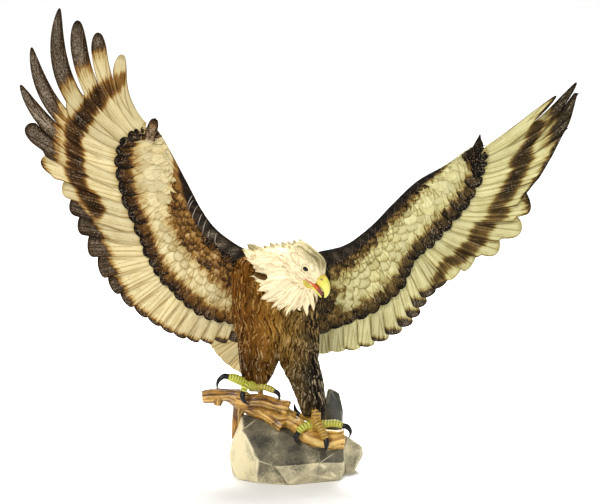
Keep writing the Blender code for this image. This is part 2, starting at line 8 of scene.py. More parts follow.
import bmesh
import bpy
import numpy as np
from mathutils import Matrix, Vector
from mathutils.bvhtree import BVHTree
from mathutils.kdtree import KDTree


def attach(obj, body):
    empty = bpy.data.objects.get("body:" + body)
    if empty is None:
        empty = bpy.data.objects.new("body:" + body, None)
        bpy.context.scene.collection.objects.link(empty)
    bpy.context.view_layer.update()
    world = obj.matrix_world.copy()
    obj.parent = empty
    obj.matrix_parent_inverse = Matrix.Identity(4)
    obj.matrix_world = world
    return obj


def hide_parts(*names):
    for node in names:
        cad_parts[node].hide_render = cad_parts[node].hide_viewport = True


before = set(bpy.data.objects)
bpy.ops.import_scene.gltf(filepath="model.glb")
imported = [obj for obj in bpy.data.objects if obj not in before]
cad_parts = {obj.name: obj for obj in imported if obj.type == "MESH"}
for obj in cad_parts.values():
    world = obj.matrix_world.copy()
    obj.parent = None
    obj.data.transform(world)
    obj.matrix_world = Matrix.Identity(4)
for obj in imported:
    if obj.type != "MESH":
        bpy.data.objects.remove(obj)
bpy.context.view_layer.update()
MM = 0.001
chance = np.random.default_rng(11)

# ---------------------------------------------------------------- the statue's driving dimensions

STATION = 3                     # feathers between two stations of a wing line
SHOULDER_DEPTH = 4.0            # y of the wings' leading edge
WING_CUP = 18.0                 # how far behind it the feathers nearest the body end
TIP_SWEEP = 12.0                # how far the outer feathers come forward again
TIP_CURL = 5.0                  # and the tips of the long feathers once more
CHORD_ARM = 0.3                 # share of the chord at the hind edge of the arm
CHORD_COVERT = 0.6              # share of the chord at the tips of the great coverts
COAT = 0.7                      # depth of the carved coat over the skin

WINGS = {
    "r": {
        "side": -1, "short": 15,
        # dark wrist: feathers from the end, first share of the chord, how dark
        "wrist": (3.9, 0.24, 0.85),
        "lead": ((-22, 186), (-43, 195), (-62, 209), (-74, 225), (-83, 242), (-95, 265),
                 (-103, 280), (-109, 290), (-113, 294)),
        "arm": ((-34, 155), (-55, 167), (-76, 184), (-90, 200), (-100, 223), (-104, 252),
                (-103, 280), (-109, 290), (-113, 294)),
        "covert": ((-44, 128), (-73, 133), (-97, 152), (-116, 175), (-127, 202), (-142, 239),
                   (-145, 274), (-129, 291), (-113, 298)),
        "tip": ((-50, 111), (-86, 112), (-119, 128), (-154, 161), (-179, 216), (-197, 262)),
        # long feathers: tip x, tip z, half width, sideways bow, share of the length that narrows
        "long": ((-208, 268, 8.4, 1, 0.25), (-220, 296, 8.6, 3, 0.2), (-224, 330, 5.8, 12, 0.45),
                 (-214, 361, 6.4, 17, 0.5), (-190, 393, 7.0, 21, 0.5), (-175, 383, 6.6, 12.5, 0.25),
                 (-158, 373, 6.0, 8.5, 0.2), (-138, 355, 5.4, 8.5, 0.3)),
        # share of each long feather's length over which it fills the room to its neighbour
        "web": (0.85, 0.78, 0.46, 0.42, 0.42, 0.46, 0.5, 0.5),
        # second dark band across the flight feathers: x, z, half width
        "band": ((-141, 334.7, 5.5), (-148.6, 328.8, 6.5), (-155.3, 323.9, 7.0),
                 (-161.2, 316.4, 7.2), (-170.5, 307.2, 7.2), (-176.5, 299.7, 7.0),
                 (-180, 289.6, 6.6), (-180.9, 279.6, 6.2), (-180.2, 267, 6.2), (-178.7, 253.6, 6.4),
                 (-174.7, 241.8, 6.4), (-168.1, 231.7, 6.0), (-162.3, 222.4, 4.5)),
        # how dark that band is: feather, share
        "band_depth": ((8, 0.75), (14, 0.84), (20, 0.84), (22, 0.55)),
        "ash": 0.66,            # how much silver grey lies down the middle of the dark tips
        "trim": (),             # smooth line on which the outer feathers end, if they do
        # where the dark tip begins, as a share of each flight feather's length, on its hind and
        # on its leading side
        "dark_from": ((0.3, 0.6), (0.7, 0.9), (0.84, 0.93), (0.84, 0.93), (0.84, 0.93), (0.84, 0.93),
                      (0.83, 0.93), (0.82, 0.92), (0.80, 0.92), (0.70, 0.87), (0.60, 0.86),
                      (0.54, 0.86), (0.50, 0.95), (0.55, 1.1), (1.1, 1.3), (0.92, 1.1),
                      (0.58, 0.74), (0.46, 0.60), (0.44, 0.55), (0.50, 0.55), (0.66, 0.68),
                      (0.82, 0.85), (1.2, 1.2)),
        # feather, shares of the chord at which the black and the brown of the arm end
        "arm_dark": ((0, 0.16, 0.40), (3, 0.16, 0.37), (6, 0.15, 0.36), (9, 0.13, 0.36),
                     (12, 0.10, 0.32), (14, 0.05, 0.18), (16, -0.1, 0.0), (24, -0.2, -0.2)),
        # pale strokes across the front edge: feather, first and last turn round it, bend in feathers
        "strokes": ((11.4, 0.6, 2.2, -0.5), (10.9, 0.9, 2.3, -0.4), (9.9, 0.6, 2.5, -0.6),
                    (8.7, 0.6, 2.2, -0.5), (7.7, 0.6, 2.4, -0.6), (6.6, 1.2, 2.2, -0.3),
                    (5.7, 0.9, 2.2, -0.5)),
        "stroke_half": 0.30,
        # painted silver sheen, a painted reflection, on the front edge: feather, spread in feathers, how
        # strong
        "sheen": (4.6, 3.2, 0.6),
        "edge_grooves": 1.3,    # how close the grooves round the front edge lie
    },
    "l": {
        "side": 1, "short": 13, "wrist": (5.0, 0.10, 1.0),
        "lead": ((24, 190), (47, 196), (68, 211.5), (85, 229), (106, 249), (131, 263.5),
                 (147, 275), (155, 280), (158, 287)),
        "arm": ((28, 148), (52, 168), (74, 190), (90, 211), (109, 233), (128, 253), (147, 275),
                (155, 280), (158, 287)),
        "covert": ((28, 121), (65, 135), (92, 154), (104, 180), (123, 199), (144, 224),
                   (160, 254), (164, 275), (161, 290)),
        "tip": ((29, 100), (66, 106), (100, 124), (120, 151), (156, 181), (206, 231)),
        "long": ((177, 194, 9.5, 1.5, 0.2), (195, 212, 10.0, 2, 0.2), (201, 234, 11.0, 2, 0.12),
                 (209, 253.5, 11.5, 2, 0.12), (218.5, 271, 11.5, 2, 0.12), (231, 294, 11.0, 4, 0.14),
                 (239, 323, 8.4, 10, 0.3), (237, 332, 4.6, 7, 0.6), (220, 321, 3.5, 2, 0.6)),
        "web": (0.75, 0.75, 0.8, 0.85, 0.9, 0.85, 0.7, 0.6, 0.6),
        "band": ((206, 296, 3.4), (200, 284, 4.6), (197, 276, 5.0), (192, 264, 5.6), (186, 246, 6.0),
                 (179, 234, 5.4), (174, 223, 6.4), (162, 207, 6.4), (153, 195, 5.8),
                 (142, 185, 5.2), (131, 175, 4.4), (122, 166, 3.4)),
        "band_depth": ((8, 0.60), (15, 0.62), (17, 0.80), (20, 0.80)),
        "ash": 0.12,
        "trim": ((239, 326), (235.5, 310), (232, 298), (226, 286), (219, 271.5), (209.5, 254.5),
                 (202.5, 245)),
        "dark_from": ((1.2, 1.2), (1.1, 1.2), (0.93, 1.1), (0.90, 1.0), (0.84, 0.96), (0.78, 0.92),
                      (0.70, 0.88), (0.70, 0.86), (0.70, 0.86), (0.74, 0.88), (0.80, 0.95),
                      (1.0, 1.2), (1.2, 1.3), (1.3, 1.3), (1.3, 1.3), (0.92, 0.95), (0.85, 0.95),
                      (0.80, 0.96), (0.72, 0.92), (0.52, 0.76), (0.56, 0.72), (0.93, 0.93)),
        "arm_dark": ((0, 0.13, 0.25), (3, 0.13, 0.22), (6, 0.13, 0.22), (9, 0.13, 0.23),
                     (12, 0.13, 0.22), (14.5, 0.05, 0.12), (16, -0.1, 0.0), (24, -0.2, -0.2)),
        "strokes": tuple((1.7 + 0.95 * k, 1.0, 2.6, -0.5) for k in range(13)),
        "stroke_half": 0.22,
        "sheen": (2.0, 3.0, 0.25), "edge_grooves": 4.5,
    },
}

# Head: its middle, the directions of face, crown and side, and the axis of the neck
HEAD = np.array((11.0, -45.0, 182.0))
FACE = np.array(Vector((0.75, -0.20, -0.63)).normalized())
CROWN = np.array(Vector((0.643, 0.0, 0.766)).normalized())
SIDE = np.cross(FACE, CROWN)
NECK_AXIS = np.array(Vector((-0.58, 0.68, -0.45)).normalized())


# ---------------------------------------------------------------- small helpers

def smooth(low, high, value):
    """0 under low, 1 over high, and a soft step between."""
    t = np.clip((value - low) / (high - low), 0.0, 1.0)
    return t * t * (3 - 2 * t)


def unit(v):
    return v / np.maximum(np.linalg.norm(v, axis=-1, keepdims=True), 1e-9)


def curve(points, place):
    """Points on the smooth curve through points; whole numbers of place are the points."""
    points, place = np.asarray(points, float), np.asarray(place, float)
    last = len(points) - 1
    i = np.clip(np.floor(place).astype(int), 0, last - 1)
    t = (place - i)[..., None]
    b, c = points[i], points[i + 1]
    a = np.where((i > 0)[..., None], points[np.maximum(i - 1, 0)], 2 * b - c)
    d = np.where((i + 2 <= last)[..., None], points[np.minimum(i + 2, last)], 2 * c - b)
    return 0.5 * (2 * b + (c - a) * t + (2 * a - 5 * b + 4 * c - d) * t * t
                  + (3 * b - a - 3 * c + d) * t ** 3)


def distance_to_path(points, path):
    """Distance in the XZ plane from each (x, z) to a line through path."""
    nearest = np.full(points.shape[:-1], np.inf)
    path = np.asarray(path, float)
    for a, b in zip(path, path[1:]):
        step = b - a
        t = np.clip(((points - a) @ step) / (step @ step), 0, 1)
        nearest = np.minimum(nearest, np.linalg.norm(points - a - t[..., None] * step, axis=-1))
    return nearest


def ripple(points, scale, seed=0.0):
    """Cheap smooth wobble between -1 and 1 at points, in mm, of about the scale's size."""
    x, y, z = points[..., 0] / scale, points[..., 1] / scale, points[..., 2] / scale
    return (np.sin(x * 2.1 + 1.3 * np.sin(z * 1.7 + seed) + seed)
            + np.sin(y * 2.3 + 1.1 * np.sin(x * 1.9 + 2 * seed) + 2.1)
            + np.sin(z * 2.6 + 1.2 * np.sin(y * 2.2 + seed) + 4.2 + seed)) / 3


# ---------------------------------------------------------------- paints

# Colours along a mark: its value and the colour there, linear
CREAM_STOPS = {
    "r": ((0.0, (0.60, 0.525, 0.305)), (0.22, (0.46, 0.355, 0.155)), (0.40, (0.24, 0.120, 0.028)),
          (0.66, (0.078, 0.036, 0.009)), (0.97, (0.006, 0.0035, 0.002))),
    "l": ((0.0, (0.57, 0.54, 0.29)), (0.22, (0.38, 0.335, 0.13)), (0.40, (0.17, 0.105, 0.030)),
          (0.66, (0.058, 0.037, 0.013)), (0.97, (0.004, 0.003, 0.002))),
}
# Hues across the body from the bird's right to its left; the dark olive brown on its left is partly
# painted shade
BODY_HUES = ((0.0, (0.155, 0.055, 0.005)), (0.4, (0.21, 0.094, 0.013)), (0.68, (0.20, 0.120, 0.026)),
             (1.0, (0.050, 0.040, 0.022)))
BODY_DEPTHS = ((0.0, (1.35, 1.3, 1.2)), (0.5, (0.72, 0.70, 0.68)), (1.0, (0.30, 0.29, 0.30)))
WHITE_STOPS = ((0.0, (0.84, 0.72, 0.48)), (0.35, (0.57, 0.50, 0.28)), (0.7, (0.26, 0.225, 0.11)),
               (1.0, (0.13, 0.12, 0.06)))
TOE_HUES = ((0.0, (0.55, 0.60, 0.05)), (0.45, (0.45, 0.42, 0.06)), (0.7, (0.44, 0.27, 0.03)),
            (1.0, (0.38, 0.19, 0.02)))
BILL_HUES = ((0.0, (0.44, 0.34, 0.022)), (0.45, (0.72, 0.56, 0.09)), (0.75, (0.56, 0.60, 0.07)),
             (1.0, (0.66, 0.62, 0.12)))
ROCK_STOPS = ((0.0, (0.72, 0.63, 0.39)), (0.3, (0.46, 0.41, 0.26)), (0.6, (0.17, 0.15, 0.095)),
              (1.0, (0.040, 0.036, 0.026)))
SPIRE_STOPS = ((0.0, (0.16, 0.16, 0.10)), (0.6, (0.06, 0.06, 0.035)), (1.0, (0.012, 0.012, 0.006)))
WASH_AND_SHADE = (0.40, 0.31, 0.15)       # brown wash in the feathers' grooves, and painted shade along their outlines
LID_HUES = ((0.0, (0.80, 0.74, 0.42)), (1.0, (0.5, 0.5, 0.2)))
EYE_HUES = ((0.0, (0.04, 0.022, 0.006)), (1.0, (0.002, 0.002, 0.002)))
# red inside the mouth, darkening to near black: the dark end is painted shade inside the open mouth
MOUTH_HUES = ((0.0, (0.72, 0.12, 0.012)), (0.6, (0.35, 0.02, 0.005)), (1.0, (0.01, 0.004, 0.003)))
CLAW_HUES = ((0.0, (0.004, 0.004, 0.004)), (1.0, (0.03, 0.03, 0.03)))
STROKE_HUES = {"r": (0.44, 0.39, 0.33), "l": (0.10, 0.075, 0.055)}


class Paint:
    """A material made of nodes, with short calls for the nodes that every paint needs."""

    def __init__(self, name):
        self.material = bpy.data.materials.new(name)
        self.material.use_nodes = True
        self.tree = self.material.node_tree
        self.shader = self.tree.nodes["Principled BSDF"]
        self.place = self.tree.nodes.new("ShaderNodeTexCoord").outputs["Object"]

    def node(self, kind, inputs, **settings):
        node = self.tree.nodes.new("ShaderNode" + kind)
        for key, value in settings.items():
            setattr(node, key, value)
        for key, value in inputs.items():
            self.feed(node.inputs[key], value)
        return node

    def feed(self, socket, value):
        if isinstance(value, bpy.types.NodeSocket):
            self.tree.links.new(value, socket)
        elif isinstance(value, tuple) and len(value) == 3 and socket.type == "RGBA":
            socket.default_value = (*value, 1.0)
        else:
            socket.default_value = value

    def math(self, operation, *values, clamp=False):
        inputs = dict(enumerate(values))
        return self.node("Math", inputs, operation=operation, use_clamp=clamp).outputs[0]

    def mark(self, name):
        return self.node("Attribute", {}, attribute_name=name).outputs["Fac"]

    def noise(self, scale, detail=2.0, stretch=None):
        place = self.place
        if stretch:
            place = self.node("Mapping", {"Vector": place, "Scale": stretch}).outputs[0]
        inputs = {"Vector": place, "Scale": scale, "Detail": detail}
        return self.node("TexNoise", inputs).outputs[0]

    def strand(self, period):
        """Noise that changes only across the groove mark, so that it runs along the strands."""
        inputs = {"W": self.mark("groove"), "Scale": 1 / period, "Detail": 2.0}
        return self.node("TexNoise", inputs, noise_dimensions="1D").outputs[0]

    def around_zero(self, value, size):
        """A value between 0 and 1 as a swing of the given size about 0."""
        return self.math("MULTIPLY", self.math("SUBTRACT", value, 0.5), size)

    def mix(self, factor, a, b, blend="MIX"):
        node = self.node("Mix", {"Factor": factor}, data_type="RGBA", blend_type=blend)
        self.feed(node.inputs[6], a)
        self.feed(node.inputs[7], b)
        return node.outputs[2]

    def ramp(self, factor, stops):
        node = self.node("ValToRGB", {"Fac": factor})
        elements = node.color_ramp.elements
        while len(elements) < len(stops):
            elements.new(0.5)
        for element, (place, colour) in zip(elements, stops):
            element.position = place
            element.color = (*colour, 1.0)
        return node.outputs[0]

    def step(self, low, high, value):
        inputs = {"Value": value, "From Min": low, "From Max": high}
        return self.node("MapRange", inputs, interpolation_type="SMOOTHSTEP").outputs[0]

    def finish(self, colour, roughness, height, distance, strength=1.0, specular=0.5, coat=0.0):
        self.feed(self.shader.inputs["Base Color"], colour)
        self.feed(self.shader.inputs["Roughness"], roughness)
        self.shader.inputs["Specular IOR Level"].default_value = specular
        self.shader.inputs["Coat Weight"].default_value = coat
        self.shader.inputs["Coat Roughness"].default_value = 0.25
        bump = self.node("Bump", {"Height": height, "Distance": distance, "Strength": strength})
        self.tree.links.new(bump.outputs[0], self.shader.inputs["Normal"])
        return self.material


def stroke_pattern(paint, dark, strand, fine, broad, grain_share):
    """Broken strokes along the strands: low in the grooves, high on top of them."""
    grain = paint.around_zero(fine, paint.math("MULTIPLY_ADD", dark, 2.2 * grain_share,
                                               0.6 * grain_share))
    calm = paint.math("MULTIPLY_ADD", dark, -1.3 * grain_share, 1.0)
    swing = paint.math("MULTIPLY_ADD", paint.math("SUBTRACT", strand, 0.5), calm, 0.5)
    return paint.math("ADD", swing, paint.math("MULTIPLY_ADD", paint.math(
        "SUBTRACT", broad, 0.5), 0.25, grain))


def hairy(paint, dark, strand, broad):
    """The dark mark mottled, and drawn out into hairs along its soft borders."""
    steep = paint.math("MULTIPLY", dark, paint.math("SUBTRACT", 1.0, dark))
    hairs = paint.around_zero(strand, paint.math("MULTIPLY", steep, -3.2))
    mottle = paint.around_zero(broad, 0.25)
    return paint.math("ADD", paint.math("ADD", dark, mottle), hairs, clamp=True)


def carved_paint(name, base, wash, light, period=1.3, wash_and_shade_share=0.5, light_share=0.35,
                 light_bias=0.85, light_from=0.55, roughness=0.55, depth=0.25, specular=0.04,
                 grain_share=0.4):
    """Paint brushed over carved wood: darker in the grooves with a wash, and along the outlines with wash
    and painted shade of the gaps; lighter strokes on top.

    base(paint, dark) gives the colour for a darkness. light is the colour of the strokes, or
    a function that makes it. The strands run where the groove mark stays the same.
    """
    paint = Paint(name)
    fine, broad = paint.noise(900, 3), paint.noise(130, 3)
    strand, dark = paint.strand(period), paint.mark("dark")
    broken = stroke_pattern(paint, dark, strand, fine, broad, grain_share)
    colour = base(paint, hairy(paint, dark, strand, broad))
    groove = paint.step(0.49, 0.36, broken)
    # along the edge mark the dark is partly painted shade, the shade in the gap to the next piece, and
    # partly wash
    low = paint.math("MAXIMUM", groove, paint.math("MULTIPLY", paint.mark("edge"), 1.2), clamp=True)
    washed_and_shaded = paint.mix(paint.math("MULTIPLY", low, wash_and_shade_share), colour,
                       paint.mix(1.0, colour, wash, "MULTIPLY"))
    top = paint.step(light_from, light_from + 0.16, broken)
    share = paint.math("MULTIPLY", paint.math("MULTIPLY", top, light_share),
                       paint.math("MULTIPLY_ADD", dark, light_bias, 1 - light_bias))
    share = paint.math("MULTIPLY", share, paint.math("SUBTRACT", 1.0, paint.mark("edge")), clamp=True)
    lit = paint.mix(share, washed_and_shaded, light(paint) if callable(light) else light)
    tone = paint.math("MULTIPLY_ADD", paint.mark("tone"), 0.30, 0.85)
    toned = paint.mix(1.0, lit, paint.node("CombineColor", {0: tone, 1: tone, 2: tone}).outputs[0],
                      "MULTIPLY")
    height = paint.math("MULTIPLY_ADD", fine, 0.25, strand)
    rough = paint.math("MULTIPLY_ADD", fine, 0.3, roughness - 0.15)
    return paint.finish(toned, rough, height, depth * MM, 0.8, specular)


def lighter(hue):
    return tuple(min(1.0, part * 1.2) for part in hue)


def ramp_base(stops):
    return lambda paint, dark: paint.ramp(dark, stops)


ASH_STREAK = 1.25               # distance between the streaks of silver grey paint


def feather_base(stops):
    """Cream to black along the dark mark, with stippled silver grey where its own mark asks for it: grey
    paint on the dark tips, and on the wing's front edge a painted sheen, a painted reflection.
    """
    def base(paint, dark):
        dots = paint.step(0.36, 0.62, paint.noise(1150, 2))
        ash = paint.mix(dots, (0.030, 0.020, 0.012), (0.34, 0.28, 0.205))
        streaks = paint.step(0.40, 0.58, paint.strand(ASH_STREAK))
        share = paint.math("MULTIPLY", paint.mark("ash"),
                           paint.math("MULTIPLY_ADD", streaks, 0.65, 0.45), clamp=True)
        return paint.mix(share, paint.ramp(dark, stops), ash)
    return base


def body_base(paint, dark):
    """Red-brown on the bird's right, tan down the breast, dark olive brown on its left, partly painted
    shade on that side, away from the light.
    """
    x = paint.node("SeparateXYZ", {0: paint.place}).outputs[0]
    wander = paint.math("MULTIPLY_ADD", paint.noise(60, 2), 0.03, -0.015)
    share = paint.node("MapRange", {"Value": paint.math("ADD", x, wander), "From Min": -0.048,
                                    "From Max": 0.020}).outputs[0]
    hue = paint.ramp(share, BODY_HUES)
    return paint.mix(1.0, hue, paint.ramp(dark, BODY_DEPTHS), "MULTIPLY")


def body_light(paint):
    """Golden strokes on the breast, silver brown ones on the legs."""
    z = paint.node("SeparateXYZ", {0: paint.place}).outputs[2]
    return paint.mix(paint.step(0.088, 0.128, z), (0.44, 0.345, 0.215), (0.42, 0.26, 0.085))


def plain_paint(name, stops, noise_scale, roughness, specular=0.5, coat=0.0, depth=0.1,
                mark="dark", mark_share=0.8):
    """Paint whose colour runs along the stops by a mark and some noise."""
    paint = Paint(name)
    noise = paint.noise(noise_scale)
    fine = paint.noise(noise_scale * 5)
    share = paint.math("MULTIPLY_ADD", paint.math("SUBTRACT", noise, 0.5), 1 - mark_share,
                       paint.math("MULTIPLY", paint.mark(mark), mark_share), clamp=True)
    rough = paint.math("MULTIPLY_ADD", fine, 0.15, roughness - 0.07)
    return paint.finish(paint.ramp(share, stops), rough, fine, depth * MM, 0.6, specular, coat)


def horn_paint(name, hues, groove, scale, mottle, roughness, depth, strength, coat):
    """Paint of toes and bill: the tone mark and some mottle pick the hue, and grooves are dark."""
    paint = Paint(name)
    noise = paint.noise(scale)
    hue = paint.ramp(paint.math("MULTIPLY_ADD", paint.math("SUBTRACT", noise, 0.5), mottle,
                                paint.mark("tone"), clamp=True), hues)
    worn = paint.mix(paint.mark("dark"), hue, groove)
    return paint.finish(worn, roughness, noise, depth * MM, strength, coat=coat)


def rock_paint(name, stops, roughness, coat=0.0, brushed=0.8):
    """Pale stone painted dark on some facets, airbrushed grey and partly painted shade, dry-brushed pale
    along the chiselled edges.
    """
    paint = Paint(name)
    broad, fine = paint.noise(60, 5), paint.noise(500, 3)
    share = paint.math("ADD", paint.mark("dark"), paint.around_zero(broad, 1.25))
    base = paint.ramp(paint.math("ADD", share, paint.around_zero(fine, 0.55), clamp=True), stops)
    edged = paint.mix(paint.math("MULTIPLY", paint.mark("edge"), brushed), base, (0.80, 0.72, 0.48))
    scratches = paint.noise(180, 2, (1.0, 1.0, 9.0))
    height = paint.math("MULTIPLY_ADD", fine, 0.5, scratches)
    return paint.finish(edged, roughness, height, 0.25 * MM, 0.6, 0.4, coat)


def wing_paints(label):
    """Paints of a wing: feathers, arm, front edge, and the pale strokes across that edge."""
    base, hue = feather_base(CREAM_STOPS[label]), STROKE_HUES[label]
    return {
        f"wing_{label}": carved_paint(f"wing_paint_{label}", base, WASH_AND_SHADE, (0.34, 0.27, 0.19),
                                      1.8, 0.55, 0.5),
        f"arm_{label}": carved_paint(f"arm_paint_{label}", base, WASH_AND_SHADE, (0.34, 0.22, 0.13),
                                     1.8, 0.6, 0.6, light_from=0.56),
        f"edge_{label}": carved_paint(f"edge_paint_{label}", base, WASH_AND_SHADE, (0.085, 0.058, 0.036),
                                      1.8, 0.7, 0.5, light_from=0.56, roughness=0.5,
                                      specular=0.08, depth=0.5),
        f"stroke_{label}": carved_paint(f"stroke_paint_{label}",
                                        ramp_base(((0.0, hue), (1.0, hue))), WASH_AND_SHADE,
                                        lighter(hue), 1.0, 0.1, 0.2),
    }


def coat_paints():
    """Paints of the locks on the body, and on neck and head."""
    return {
        "body": carved_paint("body_paint", body_base, (0.16, 0.09, 0.04), body_light, 2.0, 0.92,
                             0.55, light_bias=-0.6, light_from=0.52, depth=0.8,
                             grain_share=0.12),
        "white": carved_paint("white_paint", ramp_base(WHITE_STOPS), (0.50, 0.42, 0.25),
                              (0.92, 0.84, 0.60), 1.5, 0.6, 0.6, light_bias=0.6, roughness=0.5,
                              depth=0.15, grain_share=0.15),
    }


def face_paints():
    """Paints of lids, eyes, mouth and bill."""
    return {
        "lid": plain_paint("lid_paint", LID_HUES, 300, 0.45),
        "eye": plain_paint("eye_paint", EYE_HUES, 300, 0.2, specular=0.25, depth=0.0,
                           mark_share=0.95),
        "mouth": plain_paint("mouth_paint", MOUTH_HUES, 200, 0.3, coat=0.3),
        "bill": horn_paint("bill_paint", BILL_HUES, (0.02, 0.015, 0.005), 220, 0.8, 0.3, 0.08,
                           0.5, 0.2),
    }


def foot_paints():
    """Paints of toes and claws."""
    return {
        "toe": horn_paint("toe_paint", TOE_HUES, (0.05, 0.035, 0.008), 240, 0.35, 0.4, 0.1, 0.6,
                          0.1),
        "claw": plain_paint("claw_paint", CLAW_HUES, 300, 0.3, specular=0.3, mark="tone"),
    }


def ground_paints():
    """Paints of branch and rock, and of the rock's shiny spire."""
    return {
        "branch": carved_paint("branch_paint", branch_base, (0.35, 0.20, 0.08),
                               (0.84, 0.60, 0.22), 3.0, 0.65, 0.5, light_bias=0.0,
                               light_from=0.5, roughness=0.33, depth=0.6, specular=0.45),
        "rock": rock_paint("rock_paint", ROCK_STOPS, 0.75),
        "spire": rock_paint("spire_paint", SPIRE_STOPS, 0.3, 0.4, 0.25),
    }


def branch_base(paint, dark):
    """Brown in the furrows and on the left, golden on the ridges and to the right."""
    broad = paint.noise(70, 3)
    x = paint.node("SeparateXYZ", {0: paint.place}).outputs[0]
    pale = paint.node("MapRange", {"Value": x, "From Min": -0.045, "From Max": 0.03,
                                   "To Min": -0.09, "To Max": 0.14}).outputs[0]
    share = paint.math("ADD", paint.math("MULTIPLY_ADD", dark, -0.35, broad), pale)
    return paint.ramp(share, ((0.25, (0.12, 0.045, 0.005)), (0.42, (0.33, 0.155, 0.018)),
                              (0.58, (0.50, 0.28, 0.048)), (0.78, (0.78, 0.56, 0.20))))


# ---------------------------------------------------------------- meshes

SHARP = math.radians(50)        # edges sharper than this stay sharp in the shading


def add_piece(name, mesh):
    """Object of a mesh, in the statue's one body."""
    piece = bpy.data.objects.new(name, mesh)
    bpy.context.scene.collection.objects.link(piece)
    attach(piece, "root")
    return piece


def make_piece(name, points, faces, finish, marks, uv=None):
    """Piece from points (n, 3), a list of face arrays, and values for each point."""
    mesh = bpy.data.meshes.new(name)
    loops = np.concatenate([face.ravel() for face in faces]).astype(np.int32)
    sizes = np.concatenate([np.full(len(face), face.shape[1]) for face in faces])
    starts = np.concatenate([[0], np.cumsum(sizes)[:-1]]).astype(np.int32)
    mesh.vertices.add(len(points))
    mesh.vertices.foreach_set("co", (np.asarray(points) * MM).astype(np.float32).ravel())
    mesh.loops.add(len(loops))
    mesh.loops.foreach_set("vertex_index", loops)
    mesh.polygons.add(len(sizes))
    mesh.polygons.foreach_set("loop_start", starts)
    mesh.update(calc_edges=True)
    mesh.shade_smooth()
    mesh.set_sharp_from_angle(angle=SHARP)
    set_marks(mesh, marks)
    if uv is not None:
        layer = mesh.uv_layers.new(name="OFBake")
        layer.uv.foreach_set("vector", uv[loops].astype(np.float32).ravel())
    mesh.materials.append(finish)
    return add_piece(name, mesh)


def set_marks(mesh, marks):
    """Adds each mark, one value for all points or a value for each, as an attribute."""
    for key, values in marks.items():
        layer = mesh.attributes.new(key, "FLOAT", "POINT")
        values = np.broadcast_to(np.asarray(values, np.float32).ravel(), len(mesh.vertices))
        layer.data.foreach_set("value", np.ascontiguousarray(values))


def grid_quads(rows, cols):
    grid = np.arange(rows * cols).reshape(rows, cols)
    quads = np.stack([grid[:-1, :-1], grid[:-1, 1:], grid[1:, 1:], grid[1:, :-1]], -1)
    return grid, quads.reshape(-1, 4)


def vane_faces(rows, cols, double):
    """Faces of one closed vane: a domed grid over a flat back, or two grids and a rim."""
    grid, quads = grid_quads(rows, cols)
    if double:
        rim = np.concatenate([grid[0], grid[1:, -1], grid[-1, -2::-1], grid[-2:0:-1, 0]])
        after = np.roll(rim, -1)
        size = rows * cols
        side = np.stack([after, rim, rim + size, after + size], -1)
        return [np.concatenate([quads, quads[:, ::-1] + size, side])]
    back = np.stack([grid[:-1, 0], grid[1:, 0], grid[1:, -1], grid[:-1, -1]], -1)
    return [np.concatenate([quads, back]), np.stack([grid[0, ::-1], grid[-1]])]


def vanes(name, centre, across, up, low, high, top, finish, marks, patch, back=None):
    """One mesh of closed vanes: centre, across and up are (n, rows, 3), low and high the half
    widths (n, rows), top and back the heights (n, rows, cols) over and under the centre."""
    n, rows, cols = top.shape
    u = np.linspace(-1, 1, cols)
    wide = np.where(u < 0, low[..., None], high[..., None]) * u
    base = centre[:, :, None] + across[:, :, None] * wide[..., None]
    layers = [base + up[:, :, None] * top[..., None]]
    v = np.linspace(0, 1, rows)[:, None] * np.ones(cols)
    h = (u + 1) / 2 * np.ones((rows, 1))
    maps = [np.stack([h, v], -1)]
    if back is not None:
        layers.append(base - up[:, :, None] * back[..., None])
        maps = [np.stack([h * 0.48, v], -1), np.stack([0.52 + h * 0.48, v], -1)]
    points = np.stack(layers, 1)
    local = np.stack(maps)[None]
    uv = patch[:, None, None, None, :2] + local * patch[:, None, None, None, 2:]
    along = np.gradient(centre, axis=1)
    handed = np.sum(np.cross(across, along) * up)
    count = rows * cols * len(layers)
    faces = []
    for face in vane_faces(rows, cols, back is not None):
        face = face if handed > 0 else face[:, ::-1]
        faces.append((face[None] + np.arange(n)[:, None, None] * count).reshape(-1, face.shape[1]))
    shape = points.shape[:-1]
    values = {key: np.broadcast_to(np.broadcast_to(value, top.shape)[:, None], shape)
              for key, value in marks.items()}
    return make_piece(name, points.reshape(-1, 3), faces, finish, values, uv.reshape(-1, 2))


def cells(n, fill=0.94):
    """One rectangle of the bake map for each of n vanes."""
    side = math.ceil(math.sqrt(n))
    i = np.arange(n)
    low = np.stack([i % side, i // side], -1) / side
    size = np.full((n, 2), fill / side)
    return np.concatenate([low + (1 - fill) / 2 / side, size], -1)


# ---------------------------------------------------------------- wings

def wing_line(wing, line, feather):
    return curve(wing[line], np.asarray(feather, float) / STATION)


def feather_count(wing):
    return wing["short"] + len(wing["long"])


def wing_flat(wing, feather, chord):
    """(x, z) on the wing between its leading edge and the tips of the great coverts."""
    lead, arm, covert = (wing_line(wing, line, feather) for line in ("lead", "arm", "covert"))
    inner = np.clip(chord / CHORD_ARM, 0, 1)[..., None]
    outer = np.maximum((chord - CHORD_ARM) / (CHORD_COVERT - CHORD_ARM), 0)[..., None]
    return lead + (arm - lead) * inner + (covert - arm) * outer


def wing_depth(wing, feather, chord):
    span = np.maximum(0.0, feather / (feather_count(wing) - 1))
    cup = WING_CUP * np.maximum(chord, 0) ** 0.8 * np.cos(np.minimum(span, 1) * np.pi / 2)
    return SHOULDER_DEPTH + cup - TIP_SWEEP * span ** 2 * chord


